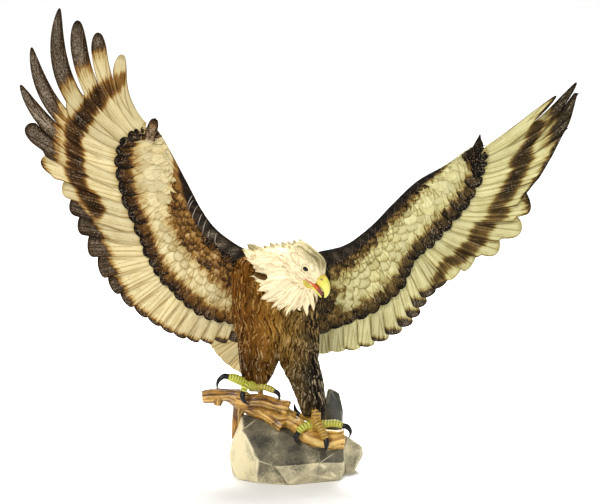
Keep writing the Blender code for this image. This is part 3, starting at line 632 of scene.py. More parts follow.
def wing_half(feather, chord):
    """Half thickness of the wing's carved body."""
    arm = (4.6 - 0.14 * feather) * np.interp(chord, (0, 0.06, 0.18, 0.3), (0.35, 0.85, 1, 0.72))
    covert = np.interp(chord, (0.3, 0.6), (2.9, 1.8)) - 0.03 * feather
    return np.where(chord < CHORD_ARM, np.minimum(arm, 4.6), covert)


def on_wing(wing, feather, chord, face, lift):
    """Points over the wing's front (face 1) or back (face -1)."""
    flat = wing_flat(wing, feather, chord)
    y = wing_depth(wing, feather, chord) - face * (wing_half(feather, chord) - COAT + lift)
    return np.stack([flat[..., 0], y, flat[..., 1]], -1)


def table(rows, column, place):
    """Value of a column of (place, value, value...) rows at place."""
    rows = np.asarray(rows, float)
    return np.interp(place, rows[:, 0], rows[:, column])


def band_share(flat, path):
    """1 inside a painted band along a path of (x, z, half width), 0 outside."""
    path = np.asarray(path, float)
    best = np.full(flat.shape[:-1], -np.inf)
    for a, b in zip(path, path[1:]):
        step = (b - a)[:2]
        t = np.clip(((flat - a[:2]) @ step) / (step @ step), 0, 1)
        off = np.linalg.norm(flat - a[:2] - t[..., None] * step, axis=-1)
        best = np.maximum(best, a[2] + (b[2] - a[2]) * t - off)
    return smooth(-4.4, 2.8, best)


def covert_dark(wing, feather, chord, flat, ragged):
    """How dark the coverts are painted: 0 is cream, 1 near black."""
    wobble = ripple(np.stack([flat[..., 0], feather, flat[..., 1]], -1), 6.0, 1.0)
    ragged = ragged + 0.012 * wobble
    deep = 0.62 + 0.16 * smooth(6, 13, feather) - 0.10 * wobble
    band = deep * smooth(0.475, 0.535, chord + ragged)
    band = np.maximum(band, 0.28 * smooth(0.43, 0.50, chord + 1.5 * ragged))
    black = table(wing["arm_dark"], 1, feather) + 1.5 * ragged
    brown = table(wing["arm_dark"], 2, feather) + 2.0 * ragged
    arm = np.maximum(0.97 * smooth(black + 0.05, black - 0.03, chord),
                     (0.47 + 0.14 * wobble) * smooth(brown + 0.03, brown - 0.05, chord))
    arm = np.maximum(arm, 0.24 * smooth(brown + 0.07, brown, chord))
    far, first, share = wing["wrist"]
    far = feather_count(wing) - far
    wrist = share * smooth(far, far + 1.1, feather) * smooth(first, first + 0.06, chord)
    inmost = 0.6 * smooth(2.4, 0.4, feather + 0.8 * wobble)
    cream = 0.05 + 0.05 * wobble
    return np.maximum.reduce([cream, band, arm, wrist, inmost])


def tip_start(wing, u):
    """Share of each flight feather's length at which its dark tip begins, slanting across it."""
    hind, lead = np.moveaxis(np.asarray(wing["dark_from"], float), 1, 0)[..., None, None]
    across = (u + 1) / 2
    return hind * (1 - across) + lead * across


TRIMMED = range(3, 7)           # the long feathers that end on the trim line, if there is one


def flight_dark(wing, number, t, u, flat, ragged, along, hind):
    """How dark a flight feather is painted; hind is the distance from its hind edge in mm."""
    wobble = ripple(np.stack([flat[..., 0], number * 3, flat[..., 1]], -1), 6.0, 3.0)
    start = tip_start(wing, u)
    tip = 0.9 * smooth(start - 0.05, start + 0.05, t + 1.2 * ragged + 0.015 * wobble)
    tip = np.maximum(tip, 0.33 * smooth(start - 0.13, start - 0.03, t + 1.5 * ragged))
    slide = (1.7 * np.sin(number * 2.4) + 70 * ragged)[..., None] * along[:, :, None]
    second = band_share(flat + slide + 1.5 * wobble[..., None], wing["band"])
    second = second * (np.interp(number, *zip(*wing["band_depth"])) - 0.12 * wobble) \
        * (1 - 0.6 * smooth(0.80, 0.97, u))
    shadow = 0.25 * smooth(0.05, 0.0, t)
    cream = 0.07 + 0.04 * wobble - 0.07 * smooth(0.13, 0.04, np.abs(u))
    long = number >= wing["short"]
    rim = np.where(long, 0.75 * smooth(0.80, 0.97, u) + 0.45 * smooth(0.88, 1.0, -u),
                   0.34 * smooth(0.88, 1.0, np.abs(u)))
    rim = rim * smooth(0.15, 0.4, t)
    if wing["trim"]:
        outer = (number >= wing["short"] + TRIMMED.start) * smooth(0.60, 0.72, t)
        rim = np.maximum(rim, 0.92 * outer * smooth(2.8, 1.3, hind + 0.5 * wobble))
    return np.clip(np.maximum.reduce([cream, tip, second, shadow, rim]), 0, 1)


SHORT_ASH = 0.36                # silver grey on the tips of the arm's short flight feathers


def flight_ash(wing, number, t, u, ragged):
    """Silver grey paint down the middle of the dark tips."""
    start = tip_start(wing, u)
    tip = smooth(start - 0.02, start + 0.08, t + 1.2 * ragged)
    middle = smooth(0.9, 0.25, np.abs(u + 0.12)) * smooth(1.0, 0.93, t)
    uneven = 0.85 + 0.35 * ripple(np.stack([number * 5, t * 40, u * 3], -1), 5.0, 5.0)
    return np.where(number > wing["short"], wing["ash"], SHORT_ASH) * tip * middle * uneven


def outline(t, start, power=2.3):
    """Half width along a feather as a share: it rounds off after start."""
    late = np.clip((t - start) / (1 - start), 0, 1)
    return np.sqrt(np.maximum(1 - late ** power, 0.0))


def barbs(along, aside, slope):
    """Distance across the fine grooves that slant back from the shaft, in mm."""
    return np.abs(aside) * math.cos(slope) - along * math.sin(slope)


def edge_mark(u, t, soft=0.16):
    """1 along a feather's outline, 0 inside it; the paint darkens there, partly as painted shade of the
    gap to the next piece.
    """
    return np.maximum(smooth(1 - 2 * soft, 1, np.abs(u)), smooth(1 - soft, 1, t))


def edge_room(wing, centre, across):
    """How far a covert may reach sideways before it would pass the wing's front edge."""
    feather = np.linspace(-0.5, feather_count(wing) - 1, 240)
    line = wing_line(wing, "lead", feather)
    tangent = unit(np.gradient(line, axis=0))
    inward = np.stack([-tangent[:, 1], tangent[:, 0]], -1)
    ahead = wing_flat(wing, feather, np.full(len(feather), 0.35)) - line
    inward = inward * np.sign(np.sum(inward * ahead, -1, keepdims=True))
    flat = centre[..., [0, 2]]
    near = np.linalg.norm(flat[..., None, :] - line, axis=-1).argmin(-1)
    inside = np.sum((flat - line[near]) * inward[near], -1)
    facing = np.abs(np.sum(across[..., [0, 2]] * inward[near], -1))
    return np.maximum((inside - 0.2) / np.maximum(facing, 0.25), 0.15)


def run_along(centre):
    """Distance along each line of centre (n, rows, 3) from its first point."""
    return np.cumsum(np.linalg.norm(np.diff(centre, axis=1, prepend=centre[:, :1]), axis=-1), 1)


def vane_grid(t, low, high, cols):
    """Places across (-1 to 1) and along (0 to 1) each vane, and the distance from its middle."""
    across, along = np.broadcast_arrays(np.linspace(-1, 1, cols), (t + 0 * low)[..., None])
    return across, along, across * np.where(across < 0, low[..., None], high[..., None])


COVERT_GRID = (11, 9)           # points along and across a covert
SHORTEST_COVERT = 3.0
NARROWEST_COVERT = 0.8          # half width
COVERT_ROOT_LIFT = -0.45        # the root is sunk into the feathers before it
COVERT_RISE = 1.65              # and the tip lies over those behind it
COVERT_TILT = 0.10


def covert_lines(wing, face, feathers, chords, spread):
    """Lines and half widths of a row of coverts: those that have room, and their chance values."""
    low_chord, high_chord = chords
    front_row, last_row = smooth(0.24, 0.16, high_chord), smooth(0.55, 0.60, high_chord)
    t = (1 - (1 - np.linspace(0, 1, COVERT_GRID[0])) ** 1.5)[None]
    jitter = chance.uniform(-1, 1, (4, len(feathers), 1))
    feather = feathers[:, None] + 0.10 * jitter[0] + 0 * t
    chord = low_chord + (high_chord - low_chord) * t * (1 + 0.05 * jitter[1])
    low, high = (wing_flat(wing, feathers, np.full(len(feathers), end)) for end in chords)
    keep = np.linalg.norm(high - low, axis=-1) > SHORTEST_COVERT
    feather, chord, jitter = feather[keep], chord[keep], jitter[:, keep]
    lift = COVERT_ROOT_LIFT + 0.4 * last_row \
        + (COVERT_RISE - 0.45 * front_row - 0.2 * jitter[2] + 0.5 * last_row) * t
    centre = on_wing(wing, feather, chord, face, lift)
    beside = on_wing(wing, feather + spread / 2, chord, face, lift) \
        - on_wing(wing, feather - spread / 2, chord, face, lift)
    along = unit(np.gradient(centre, axis=1))
    up = np.zeros_like(centre)
    up[..., 1] = -face
    across = unit(np.cross(along, up)) * np.sign(np.sum(np.cross(along, up) * beside))
    up = unit(up + across * (COVERT_TILT * jitter[3][..., None]))
    half = np.linalg.norm(beside, axis=-1) * (0.62 + 0.08 * last_row) * outline(t, 0.45) \
        * (1 + 0.08 * jitter[0]) * (0.5 + 0.5 * smooth(0, 0.25, t)) + 0.05
    half = np.minimum(half, edge_room(wing, centre, across))
    keep = half.max(1) > NARROWEST_COVERT
    return t, jitter[:, keep], *(a[keep] for a in (feather, chord, centre, across, up, half))


def covert_row(name, wing, face, feathers, chords, spread, finish, wing_marks):
    """One row of carved coverts across the wing, each on its own rectangle of the bake map."""
    t, jitter, feather, chord, centre, across, up, half = covert_lines(
        wing, face, feathers, chords, spread)
    _, stretch, rise, tilt = jitter[..., None]
    n, cols = len(centre), COVERT_GRID[1]
    u, tt, aside = vane_grid(t, half, half, cols)
    dome = 0.75 * (1 - np.abs(u) ** 2.5) + 0.35 * np.exp(-(u / 0.16) ** 2)
    top = dome * (0.35 + 0.65 * np.minimum(1, 4 * (1 - tt)))
    top = top * (0.42 + 0.58 * smooth(0.48, 0.58, chords[1])) \
        * (1 - 0.25 * smooth(0.24, 0.16, chords[1]))
    run = run_along(centre)[..., None]
    flat = centre[:, :, None, [0, 2]] + 0 * aside[..., None]
    ragged = chance.normal(0, 0.006, (n, 1, cols))
    dark = covert_dark(wing, feather[..., None] + u * 0.3, chord[..., None] + 0 * u, flat, ragged)
    painted = smooth(0.2, 0.5, dark)
    border = np.maximum(np.abs(u), tt)
    # dark outlines round the scales: painted shade in the gaps between them, with the wash; strongest
    # near the body and on coverts painted dark, fading towards the wing's tip
    outline_shade = 1 - 0.7 * smooth(0.35, 0.65, feather[..., None] / feather_count(wing))
    outline_shade = np.maximum(outline_shade, painted)
    dark = np.maximum(dark, 0.25 * outline_shade * smooth(0.74, 0.97, border))
    curl = 1.1 * np.sin(run * 0.9 + 6 * stretch)
    marks = {
        "dark": np.clip(dark + 0.07 * rise + 0.36 * smooth(0.60, 0.95, border) * painted, 0, 1),
        "groove": barbs(run, aside, 0.25) + curl * smooth(0.2, 0.5, dark) + 9 * tilt,
        "edge": outline_shade * edge_mark(u, tt, 0.12),
        "tone": 0.5 + 0.5 * stretch,
    }
    wing_marks.append((centre.reshape(-1, 3), marks["dark"][:, :, cols // 2].ravel()))
    return vanes(name, centre, across, up, half, half, top, finish, marks, cells(n))


COVERT_ROWS = (
    # first and last chord, coverts per feather of the wing; rows from the front edge back
    ((0.08, 0.185), 1.0), ((0.12, 0.235), 1.1), ((0.165, 0.28), 1.1), ((0.21, 0.33), 1.05),
    ((0.26, 0.385), 0.95), ((0.31, 0.44), 0.9), ((0.365, 0.50), 0.9), ((0.42, 0.565), 0.95),
    ((0.455, 0.612), 1.0),
)


def build_coverts(label, paints, wing_marks):
    """All rows of coverts on both faces of a wing; notes where they are dark."""
    wing = WINGS[label]
    last = feather_count(wing) - 1
    for side, face in (("front", 1), ("back", -1)):
        for row, (chords, density) in enumerate(COVERT_ROWS):
            count = int((last + 1) * density)
            feathers = -0.2 + (last + 0.2) * (np.arange(count) + 0.5 * (row % 2)) / count
            paint, slot = ("wing", "cream_feathers") if chords[1] > CHORD_ARM else (
                "arm", "brown_feathers")
            piece = covert_row(f"wing_{label}_{side}_coverts_{row}", wing, face, feathers, chords,
                               1 / density, paints[f"{paint}_{label}"], wing_marks)


EDGE_CHORD = 0.14               # share of the chord that the rounded front edge covers


def on_edge(wing, feather, turn, lift=0.0):
    """Points round the wing's front edge: turn 0 is its nose, pi / 2 its front, pi its hind side."""
    feather = np.asarray(feather, float) + 0 * turn
    lead = wing_line(wing, "lead", feather)
    inward = unit(wing_flat(wing, feather, 0.35 + 0 * feather) - lead)
    wide = np.linalg.norm(wing_flat(wing, feather, EDGE_CHORD + 0 * feather) - lead, axis=-1) / 2
    wide = np.maximum(wide, 1.3)
    tall = np.maximum(wing_half(feather, 0.08 + 0 * feather) - COAT + 0.9, 1.2) + lift
    flat = lead + inward * (wide * (1 - np.cos(turn)))[..., None]
    y = wing_depth(wing, feather, EDGE_CHORD * (1 - np.cos(turn)) / 2) - np.sin(turn) * tall
    return np.stack([flat[..., 0], y, flat[..., 1]], -1)


def build_wing_edge(label, finish):
    """Smooth rounded front edge along the whole arm."""
    wing = WINGS[label]
    feather = np.linspace(-0.2, feather_count(wing) - 1.0, 150)[:, None]
    turn = np.linspace(0, math.tau, 32, endpoint=False)[None]
    feather, turn = np.broadcast_arrays(feather, turn)
    lap = 0.35 * (1 - (feather * 1.1 + 0.25 * np.cos(turn)) % 1)
    rings = on_edge(wing, feather, turn, lap)
    chord = EDGE_CHORD * (1 - np.cos(turn)) / 2
    dark = covert_dark(wing, feather, chord, rings[..., [0, 2]], 0.0)
    nose = smooth(0.35, 0.05, 1 - np.cos(turn)) * smooth(12, 15, feather)
    # painted sheen: silver grey laid round the front of the edge as a painted reflection
    at, spread, strong = wing["sheen"]
    sheen = np.exp(-((feather - at) / spread) ** 2) * strong * smooth(0.5, 0.95, np.sin(turn))
    uneven = 0.6 + 0.5 * np.sin(feather * 4.3 + 2.0 * np.cos(turn))
    marks = {"dark": np.maximum(dark, 0.62 * nose), "edge": 0.0, "tone": 0.4,
             "groove": feather * wing["edge_grooves"] + np.cos(turn) * 2.0,
             "ash": np.clip(sheen * uneven, 0, 1)}
    uv = np.stack([(feather + 0.2) / 30, turn / math.tau * 0.2], -1)
    points, faces = rings_mesh(rings)
    piece = sound(make_piece(f"wing_{label}_edge", points, faces, finish, marks,
                             uv.reshape(-1, 2)))


def build_arm_strokes(label, finish):
    """Fine raised pale strokes carved across the dark front edge of the wing."""
    wing = WINGS[label]
    start, first, last, bend = np.array(wing["strokes"], float).T[..., None]
    t = np.linspace(0, 1, 14)[None]
    feather = start + bend * t * t
    turn = first + (last - first) * t
    centre = on_edge(wing, feather, turn, 0.35)
    along = unit(np.gradient(centre, axis=1))
    up = unit(on_edge(wing, feather, turn, 3.0) - centre)
    across = unit(np.cross(along, up))
    half = wing["stroke_half"] * np.sin(math.pi * np.clip(t, 0.03, 0.97)) ** 0.6 + 0 * start
    u = np.linspace(-1, 1, 5)
    top = 0.45 * (1 - u ** 2) + 0.05 + 0 * half[..., None]
    marks = {"dark": 0.0, "groove": u, "edge": 0.0, "tone": 0.5}
    piece = vanes(f"wing_{label}_strokes", centre, across, up, half, half, top, finish, marks,
                  cells(len(start)))


def bezier(start, control, tip, t):
    t = t[..., None]
    return start * (1 - t) ** 2 + control * 2 * t * (1 - t) + tip * t * t


LONG_TAPER = 0.4                # feathers that narrow over more of their length end in a point
FLIGHT_GRID = (48, 15)          # points along and across a flight feather
SHORT_HIND, SHORT_LEAD = 1.28, 1.04     # how much wider the short feathers are on either side
# Share of the room to the neighbour that a long feather takes at most, and along the web
HIND_SHARES, LEAD_SHARES = (0.74, 0.80), (0.5, 0.55)


def flight_shafts(wing, t):
    """Shafts (x, z) and free half widths of all flight feathers, from the body to the tip."""
    shafts, halves = [], []
    for number in range(feather_count(wing)):
        start = wing_line(wing, "covert", number)
        if number < wing["short"]:
            tip = wing_line(wing, "tip", number)
            shafts.append(start + (tip - start) * t[:, None])
            root, end = (np.linalg.norm(wing_line(wing, line, number + 0.5)
                                        - wing_line(wing, line, number - 0.5)) / 2
                         for line in ("covert", "tip"))
            halves.append((root + (end - root) * t) * outline(t, 0.86, 2.0) + 0.2)
            continue
        tip_x, tip_z, width, bow, narrowing = wing["long"][number - wing["short"]]
        tip = np.array((tip_x, tip_z), float)
        along = unit(tip - start)
        hindward = np.array((along[1], -along[0])) * wing["side"]
        shafts.append(bezier(start, (start + tip) / 2 + hindward * 2 * bow, tip, t))
        pointed = 1.35 if narrowing > LONG_TAPER else 1.0
        halves.append(width * outline(t, 1 - narrowing, 2.2) ** pointed + 0.5)
    return np.array(shafts), np.array(halves)


def webbed(free, room, web, t, most, filled):
    """Half width beside a neighbour: up to a share of the room, and all of it along the web."""
    return np.maximum(np.minimum(free, room * most),
                      smooth(web + 0.12, web - 0.12, t) * room * filled)


def feather_widths(wing, shafts, halves, t):
    """Half widths on the hind and the leading side; neighbours overlap where they lie close."""
    low, high = halves.copy(), halves.copy()
    count, short, web = len(shafts), wing["short"], wing["web"]
    low[:short] *= SHORT_HIND
    high[:short] *= SHORT_LEAD
    for number in range(short, count):
        room = distance_to_path(shafts[number], shafts[number - 1])
        low[number] = webbed(low[number], room, web[number - short], t, *HIND_SHARES)
        if number < count - 1:
            room = distance_to_path(shafts[number], shafts[number + 1])
            high[number] = webbed(high[number], room, web[number + 1 - short], t, *LEAD_SHARES)
    if wing["trim"]:
        room = trim_room(wing, shafts)
        for number in TRIMMED:
            number += short
            wide = distance_to_path(shafts[number], shafts[number - 1]) * 1.12 + 0.5
            low[number] = np.minimum(wide, room[number])
    return low, high


def trim_room(wing, shafts):
    """How far each feather reaches hindward before it meets the line that the tips end on."""
    path = np.array(wing["trim"], float)
    line = curve(path, np.linspace(0, len(path) - 1, 160))
    tangent = unit(np.gradient(line, axis=0))
    outward = np.stack([tangent[:, 1], -tangent[:, 0]], -1)
    outward = outward * np.sign(outward[:, :1])
    along = unit(np.gradient(shafts, axis=1))
    hind = np.stack([along[..., 1], -along[..., 0]], -1) * wing["side"]
    near = np.linalg.norm(shafts[..., None, :] - line, axis=-1).argmin(-1)
    inside = -np.sum((shafts - line[near]) * outward[near], -1)
    facing = np.sum(hind * outward[near], -1)
    return np.maximum(inside / np.maximum(facing, 0.25), 0.3)


def flight_top(u, t):
    """Height of a flight feather's face: a low dome with a raised shaft."""
    return (0.20 + 0.42 * (1 - np.abs(u) ** 2.2) + 0.42 * np.exp(-(u / 0.10) ** 2) * (1 - 0.7 * t)) \
        * (0.6 + 0.4 * np.minimum(1, 6 * (1 - t)))


def flight_lines(wing):
    """Lines of all flight feathers, their directions along, across and up, and half widths."""
    t = 1 - (1 - np.linspace(0, 1, FLIGHT_GRID[0])) ** 1.4
    shafts, halves = flight_shafts(wing, t)
    low, high = feather_widths(wing, shafts, halves, t)
    numbers = np.arange(len(shafts))[:, None] + 0 * t
    chord = CHORD_COVERT + (1 - CHORD_COVERT) * t[None] + 0 * numbers
    y = wing_depth(wing, numbers, chord) - np.where(numbers >= wing["short"], TIP_CURL * t * t, 0)
    centre = with_root(np.stack([shafts[..., 0], y, shafts[..., 1]], -1), wing)
    low, high = (np.concatenate([a[:, :1] * 0.9, a], 1) for a in (low, high))
    t = np.concatenate([[0.0], t])[None]
    along = unit(np.gradient(centre, axis=1))
    front = np.array((0.0, -1.0, 0.0))
    across = unit(np.cross(along, front)) * -wing["side"]
    across = unit(across - front * (0.17 * smooth(0.02, 0.3, t))[..., None])
    up = unit(np.cross(across, along))
    return t, centre, along, across, up * np.sign(-up[..., 1:2]), low, high


def build_flight_feathers(label, finish):
    """Every flight feather as a vane of its own, each a little over its inner neighbour."""
    wing = WINGS[label]
    t, centre, along, across, up, low, high = flight_lines(wing)
    n = len(centre)
    u, tt, aside = vane_grid(t, low, high, FLIGHT_GRID[1])
    flat = (centre[:, :, None] + across[:, :, None] * aside[..., None])[..., [0, 2]]
    ragged = chance.normal(0, 0.016, (n, 1, u.shape[2]))
    tone = chance.uniform(0, 1, (n, 1, 1))
    number = np.arange(n)[:, None, None] + 0 * u
    marks = {
        "dark": flight_dark(wing, number, tt, u, flat, ragged, along[..., [0, 2]],
                            aside + low[..., None]),
        "groove": barbs(run_along(centre)[..., None], aside, 0.12) + 9 * tone,
        "edge": edge_mark(u, tt, 0.09),
        "tone": tone,
        "ash": flight_ash(wing, number, tt, u, ragged),
    }
    top = flight_top(u, tt)
    piece = vanes(f"wing_{label}_flight_feathers", centre, across, up, low, high, top, finish,
                  marks, cells(n), back=top)
    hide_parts(f"wing_{label}_secondaries",
                *(f"wing_{label}_primary_{k + 1}" for k in range(len(wing["long"]))))


def with_root(centre, wing):
    """Adds a first point to each shaft, tucked in under the great coverts."""
    root = centre[:, 0]
    inward = wing_flat(wing, np.arange(len(root)), np.full(len(root), 0.52)) - root[:, [0, 2]]
    length = np.maximum(np.linalg.norm(inward, axis=-1), 1e-6)
    flat = root[:, [0, 2]] + inward * (np.minimum(length, 6.0) / length)[:, None]
    first = np.stack([flat[:, 0], root[:, 1], flat[:, 1]], -1)
    return np.concatenate([first[:, None], centre], 1)


# ---------------------------------------------------------------- skin

SKIN_NODES = ("trunk", "leg_r", "leg_l", "neck", "head", "wing_r_arm", "wing_r_coverts",
              "wing_l_arm", "wing_l_coverts", "wing_r_alula", "wing_l_alula")
TRUNK, LEG_R, LEG_L, NECK, HEAD_ZONE = range(5)     # places of these nodes in SKIN_NODES
SKIN_PAINTS = ("body", "white", "wing_r", "wing_l")
PAINT_OF_ZONE = ("body", "body", "body", "white", "white", "wing_r", "wing_r", "wing_l", "wing_l",
                 "wing_r", "wing_l")
SWELL = 0.4                     # closes the thin gaps between the solids while they are joined
SKIN_VOXEL = 1.0                # size of the grid that joins them
# Filling between neck and head: distance along the neck's axis, radius
NECK_FILL = ((-4, 12.5), (4, 14.0), (12, 18.5), (19, 23.5))
MANE = HEAD + NECK_AXIS * 7 - FACE * 7      # middle of the part that is smoothed into one form
MANE_ROUNDS = 60                # rounds of that smoothing
RUFF_DRAWN_IN = 5.0             # how far the rim of the neck is drawn in under the ruff


def node_shape(node):
    """A welded copy of a solid's mesh, in metres."""
    shape = bmesh.new()
    shape.from_mesh(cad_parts[node].data)
    bmesh.ops.remove_doubles(shape, verts=shape.verts, dist=1e-6)
    return shape


def plain_mesh(points, faces):
    """Mesh of points in mm and a list of face arrays."""
    mesh = bpy.data.meshes.new("part")
    mesh.from_pydata((points * MM).tolist(), [], [tuple(f) for kind in faces for f in kind])
    return mesh


def neck_fill():
    """Closed form that joins the head to the neck."""
    first, second = across_axis(NECK_AXIS)
    turn = np.linspace(0, math.tau, 24, endpoint=False)[:, None]
    rings = np.array([HEAD + NECK_AXIS * along + radius * (np.cos(turn) * first
                                                           + np.sin(turn) * second)
                      for along, radius in NECK_FILL])
    return face_outwards(plain_mesh(*rings_mesh(rings)))


def joined_mesh(nodes):
    """One mesh of several solids, and the number of the node that each face comes from."""
    whole, labels = bmesh.new(), []
    for number, node in enumerate(nodes):
        shape = node_shape(node)
        part = bpy.data.meshes.new("part")
        shape.to_mesh(part)
        shape.free()
        whole.from_mesh(part)
        bpy.data.meshes.remove(part)
        labels += [number] * (len(whole.faces) - len(labels))
    whole.from_mesh(neck_fill())
    labels += [NECK] * (len(whole.faces) - len(labels))
    mesh = bpy.data.meshes.new("joined")
    whole.to_mesh(mesh)
    whole.free()
    return mesh, np.array(labels)


def evaluated(mesh, *modifiers):
    """Mesh after modifiers, each a type and its settings."""
    holder = bpy.data.objects.new("holder", mesh)
    bpy.context.scene.collection.objects.link(holder)
    for kind, settings in modifiers:
        step = holder.modifiers.new(kind, kind)
        for key, value in settings.items():
            setattr(step, key, value)
    graph = bpy.context.evaluated_depsgraph_get()
    result = bpy.data.meshes.new_from_object(holder.evaluated_get(graph))
    bpy.data.objects.remove(holder)
    return result


def vectors(items, key):
    """A property of three numbers, as one row for each item."""
    values = np.empty(len(items) * 3)
    items.foreach_get(key, values)
    return values.reshape(-1, 3)


def mesh_points(mesh):
    return vectors(mesh.vertices, "co") / MM


def set_points(mesh, points):
    mesh.vertices.foreach_set("co", (points * MM).ravel())
    mesh.update()


def mesh_faces(mesh):
    return [tuple(face.vertices) for face in mesh.polygons]


def point_tree(points):
    """Search tree that finds the nearest of the points."""
    tree = KDTree(len(points))
    for i, point in enumerate(points):
        tree.insert(point, i)
    tree.balance()
    return tree


def mesh_normals(mesh):
    return vectors(mesh.vertex_normals, "vector")


class Surface:
    """A mesh in mm that can be asked for its nearest points and their normals."""

    def __init__(self, mesh):
        self.points = mesh_points(mesh)
        self.faces = mesh_faces(mesh)
        self.normals = mesh_normals(mesh)
        self.tree = BVHTree.FromPolygons(self.points.tolist(), self.faces)
        self.face_normals = unit(np.array([self.normals[list(f)].mean(0) for f in self.faces]))
        self.centres = np.array([self.points[list(f)].mean(0) for f in self.faces])

    def nearest(self, points):
        """Nearest surface points, their normals and their faces."""
        spots, faces = np.empty_like(points), np.empty(len(points), int)
        for i, point in enumerate(points):
            spot, _, face, _ = self.tree.find_nearest(point)
            spots[i], faces[i] = spot, face
        return spots, self.face_normals[faces], faces


def head_space(points):
    """Coordinates along FACE, CROWN and SIDE from the head's centre."""
    away = points - HEAD
    return away @ FACE, away @ CROWN, away @ SIDE


def sculpt_head(points, normals):
    """Brow ridge, eye hollow, cheek and lore on the skin of the head."""
    ahead, up, side = head_space(points)
    aside = np.abs(side)

    def bump(a, u, s, size):
        return np.exp(-((ahead - a) ** 2 + (up - u) ** 2 + (aside - s) ** 2) / size ** 2)

    near = np.exp(-(np.maximum(np.linalg.norm(points - HEAD, axis=1) - 24, 0) / 3) ** 2)
    brow = np.zeros(len(points))
    for share in np.linspace(0, 1, 7):
        brow = np.maximum(brow, bump(9.5 - 13 * share, 5.2 + 0.8 * share, 9.6 + 2.6 * share, 2.4))
    move = 1.0 * brow - 1.1 * bump(3.6, 1.2, 12.4, 3.2) - 0.7 * bump(10, 0.5, 9.5, 3.0)
    move += 0.5 * bump(-2, -7, 12.5, 4.5)
    return points + normals * (move * near)[:, None]


def build_skin(paints, wing_marks):
    """One skin over head, neck, body, legs and the arms of the wings, a coat's depth inside."""
    solid, labels = joined_mesh(SKIN_NODES)
    tree = BVHTree.FromPolygons(mesh_points(solid).tolist(), mesh_faces(solid))
    mesh = evaluated(solid,
                     ("DISPLACE", {"strength": SWELL * MM, "mid_level": 0.0}),
                     ("REMESH", {"mode": "VOXEL", "voxel_size": SKIN_VOXEL * MM,
                                 "use_smooth_shade": True}),
                     ("SMOOTH", {"factor": 0.5, "iterations": 5}),
                     ("DISPLACE", {"strength": -(SWELL + COAT) * MM, "mid_level": 0.0}))
    points = draw_in_ruff(mesh_points(mesh))
    near = smooth(22, 15, np.linalg.norm(points - MANE, axis=1))
    points = relax(mesh, points, MANE_ROUNDS, near)
    set_points(mesh, sculpt_head(points, mesh_normals(mesh)))
    mesh.name = "skin"
    surface = Surface(mesh)
    surface.zone = np.array([labels[tree.find_nearest(point)[2]] for point in surface.centres])
    for name in SKIN_PAINTS:
        mesh.materials.append(paints[name])
    slots = [SKIN_PAINTS.index(PAINT_OF_ZONE[zone]) for zone in surface.zone]
    mesh.polygons.foreach_set("material_index", slots)
    set_marks(mesh, skin_marks(surface, wing_marks))
    piece = add_piece("skin", mesh)
    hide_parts(*SKIN_NODES)
    return surface


def relax(mesh, points, rounds, share):
    """Smooths points of a mesh, each by its share."""
    ends = np.empty(len(mesh.edges) * 2, np.int32)
    mesh.edges.foreach_get("vertices", ends)
    a, b = ends.reshape(-1, 2).T
    both, other = np.concatenate([a, b]), np.concatenate([b, a])
    count = np.bincount(both, minlength=len(points))[:, None]
    for _ in range(rounds):
        total = np.stack([np.bincount(both, points[other, axis], len(points))
                          for axis in range(3)], -1)
        points = points + (total / count - points) * (0.6 * share)[:, None]
    return points


def draw_in_ruff(points):
    """Pulls the rim of the neck in, so that only the ruff's locks make its ragged edge."""
    away = points - HEAD
    along = away @ NECK_AXIS
    out = away - along[:, None] * NECK_AXIS
    far = np.linalg.norm(out, axis=1)
    share = smooth(18, 29, along) * (along < 36) * smooth(20, 26, far)
    return points - unit(out) * (share * RUFF_DRAWN_IN)[:, None]


def skin_marks(surface, wing_marks):
    """The same dark marks on the skin as on the coat over it."""
    points = surface.points
    zone = np.zeros(len(points), int)
    for face, number in zip(surface.faces, surface.zone):
        zone[list(face)] = number
    dark = body_dark(points)
    white = (zone == NECK) | (zone == HEAD_ZONE)
    dark[white] = head_dark(points[white])
    spots, values = (np.concatenate(part) for part in zip(*wing_marks))
    tree = point_tree(spots)
    for i in np.flatnonzero(zone > HEAD_ZONE):
        dark[i] = values[tree.find(points[i])[1]]
    groove = ripple(points, 2.5, 5.0) * 2 + points[:, 0] * 0.5
    return {"dark": dark, "groove": groove, "edge": 0.0, "tone": 0.5}


# ---------------------------------------------------------------- coat of carved locks

BAKE_PATCH = 0.003              # size of one lock's patch on the bake map
BODY_MIDDLE = (-9.0, 5.0, 150.0)
# (x, y) of the axis that each part's coat is unrolled round
PART_AXES = {TRUNK: (-9.0, 0.0), LEG_R: (-26.0, -2.0), LEG_L: (15.0, -8.0)}


def across_axis(axis):
    """Two directions square to an axis."""
    first = unit(np.cross(axis, (0.0, 0.0, 1.0)))
    return first, np.cross(axis, first)


def skin_place(points, zone):
    """Place on the bake map: one column for each zone of the skin, unrolled round its axis."""
    spots = np.empty((len(points), 2))
    for number in range(HEAD_ZONE + 1):
        mine = zone == number
        if number in PART_AXES:
            x, y = PART_AXES[number]
            turn = np.arctan2(points[mine, 0] - x, y - points[mine, 1])
            share = (points[mine, 2] - 50) / 160
        else:
            first, second = across_axis(NECK_AXIS)
            away = points[mine] - HEAD
            turn = np.arctan2(away @ first, away @ second)
            share = (away @ NECK_AXIS + 35) / 80
        spots[mine, 0] = (number + 0.5 + turn / math.tau * 0.94) / 5
        spots[mine, 1] = 0.02 + 0.96 * np.clip(share, 0, 1)
    return spots


def scatter(surface, faces, spacing):
    """Those of the faces, in random order, whose centres keep their spacing from each other."""
    order = chance.permutation(faces)
    tree = point_tree(surface.centres[order])
    free, chosen = np.ones(len(order), bool), []
    for i, face in enumerate(order):
        if free[i]:
            chosen.append(face)
            for _, j, _ in tree.find_range(surface.centres[face], spacing[face]):
                free[j] = False
    return np.array(chosen)


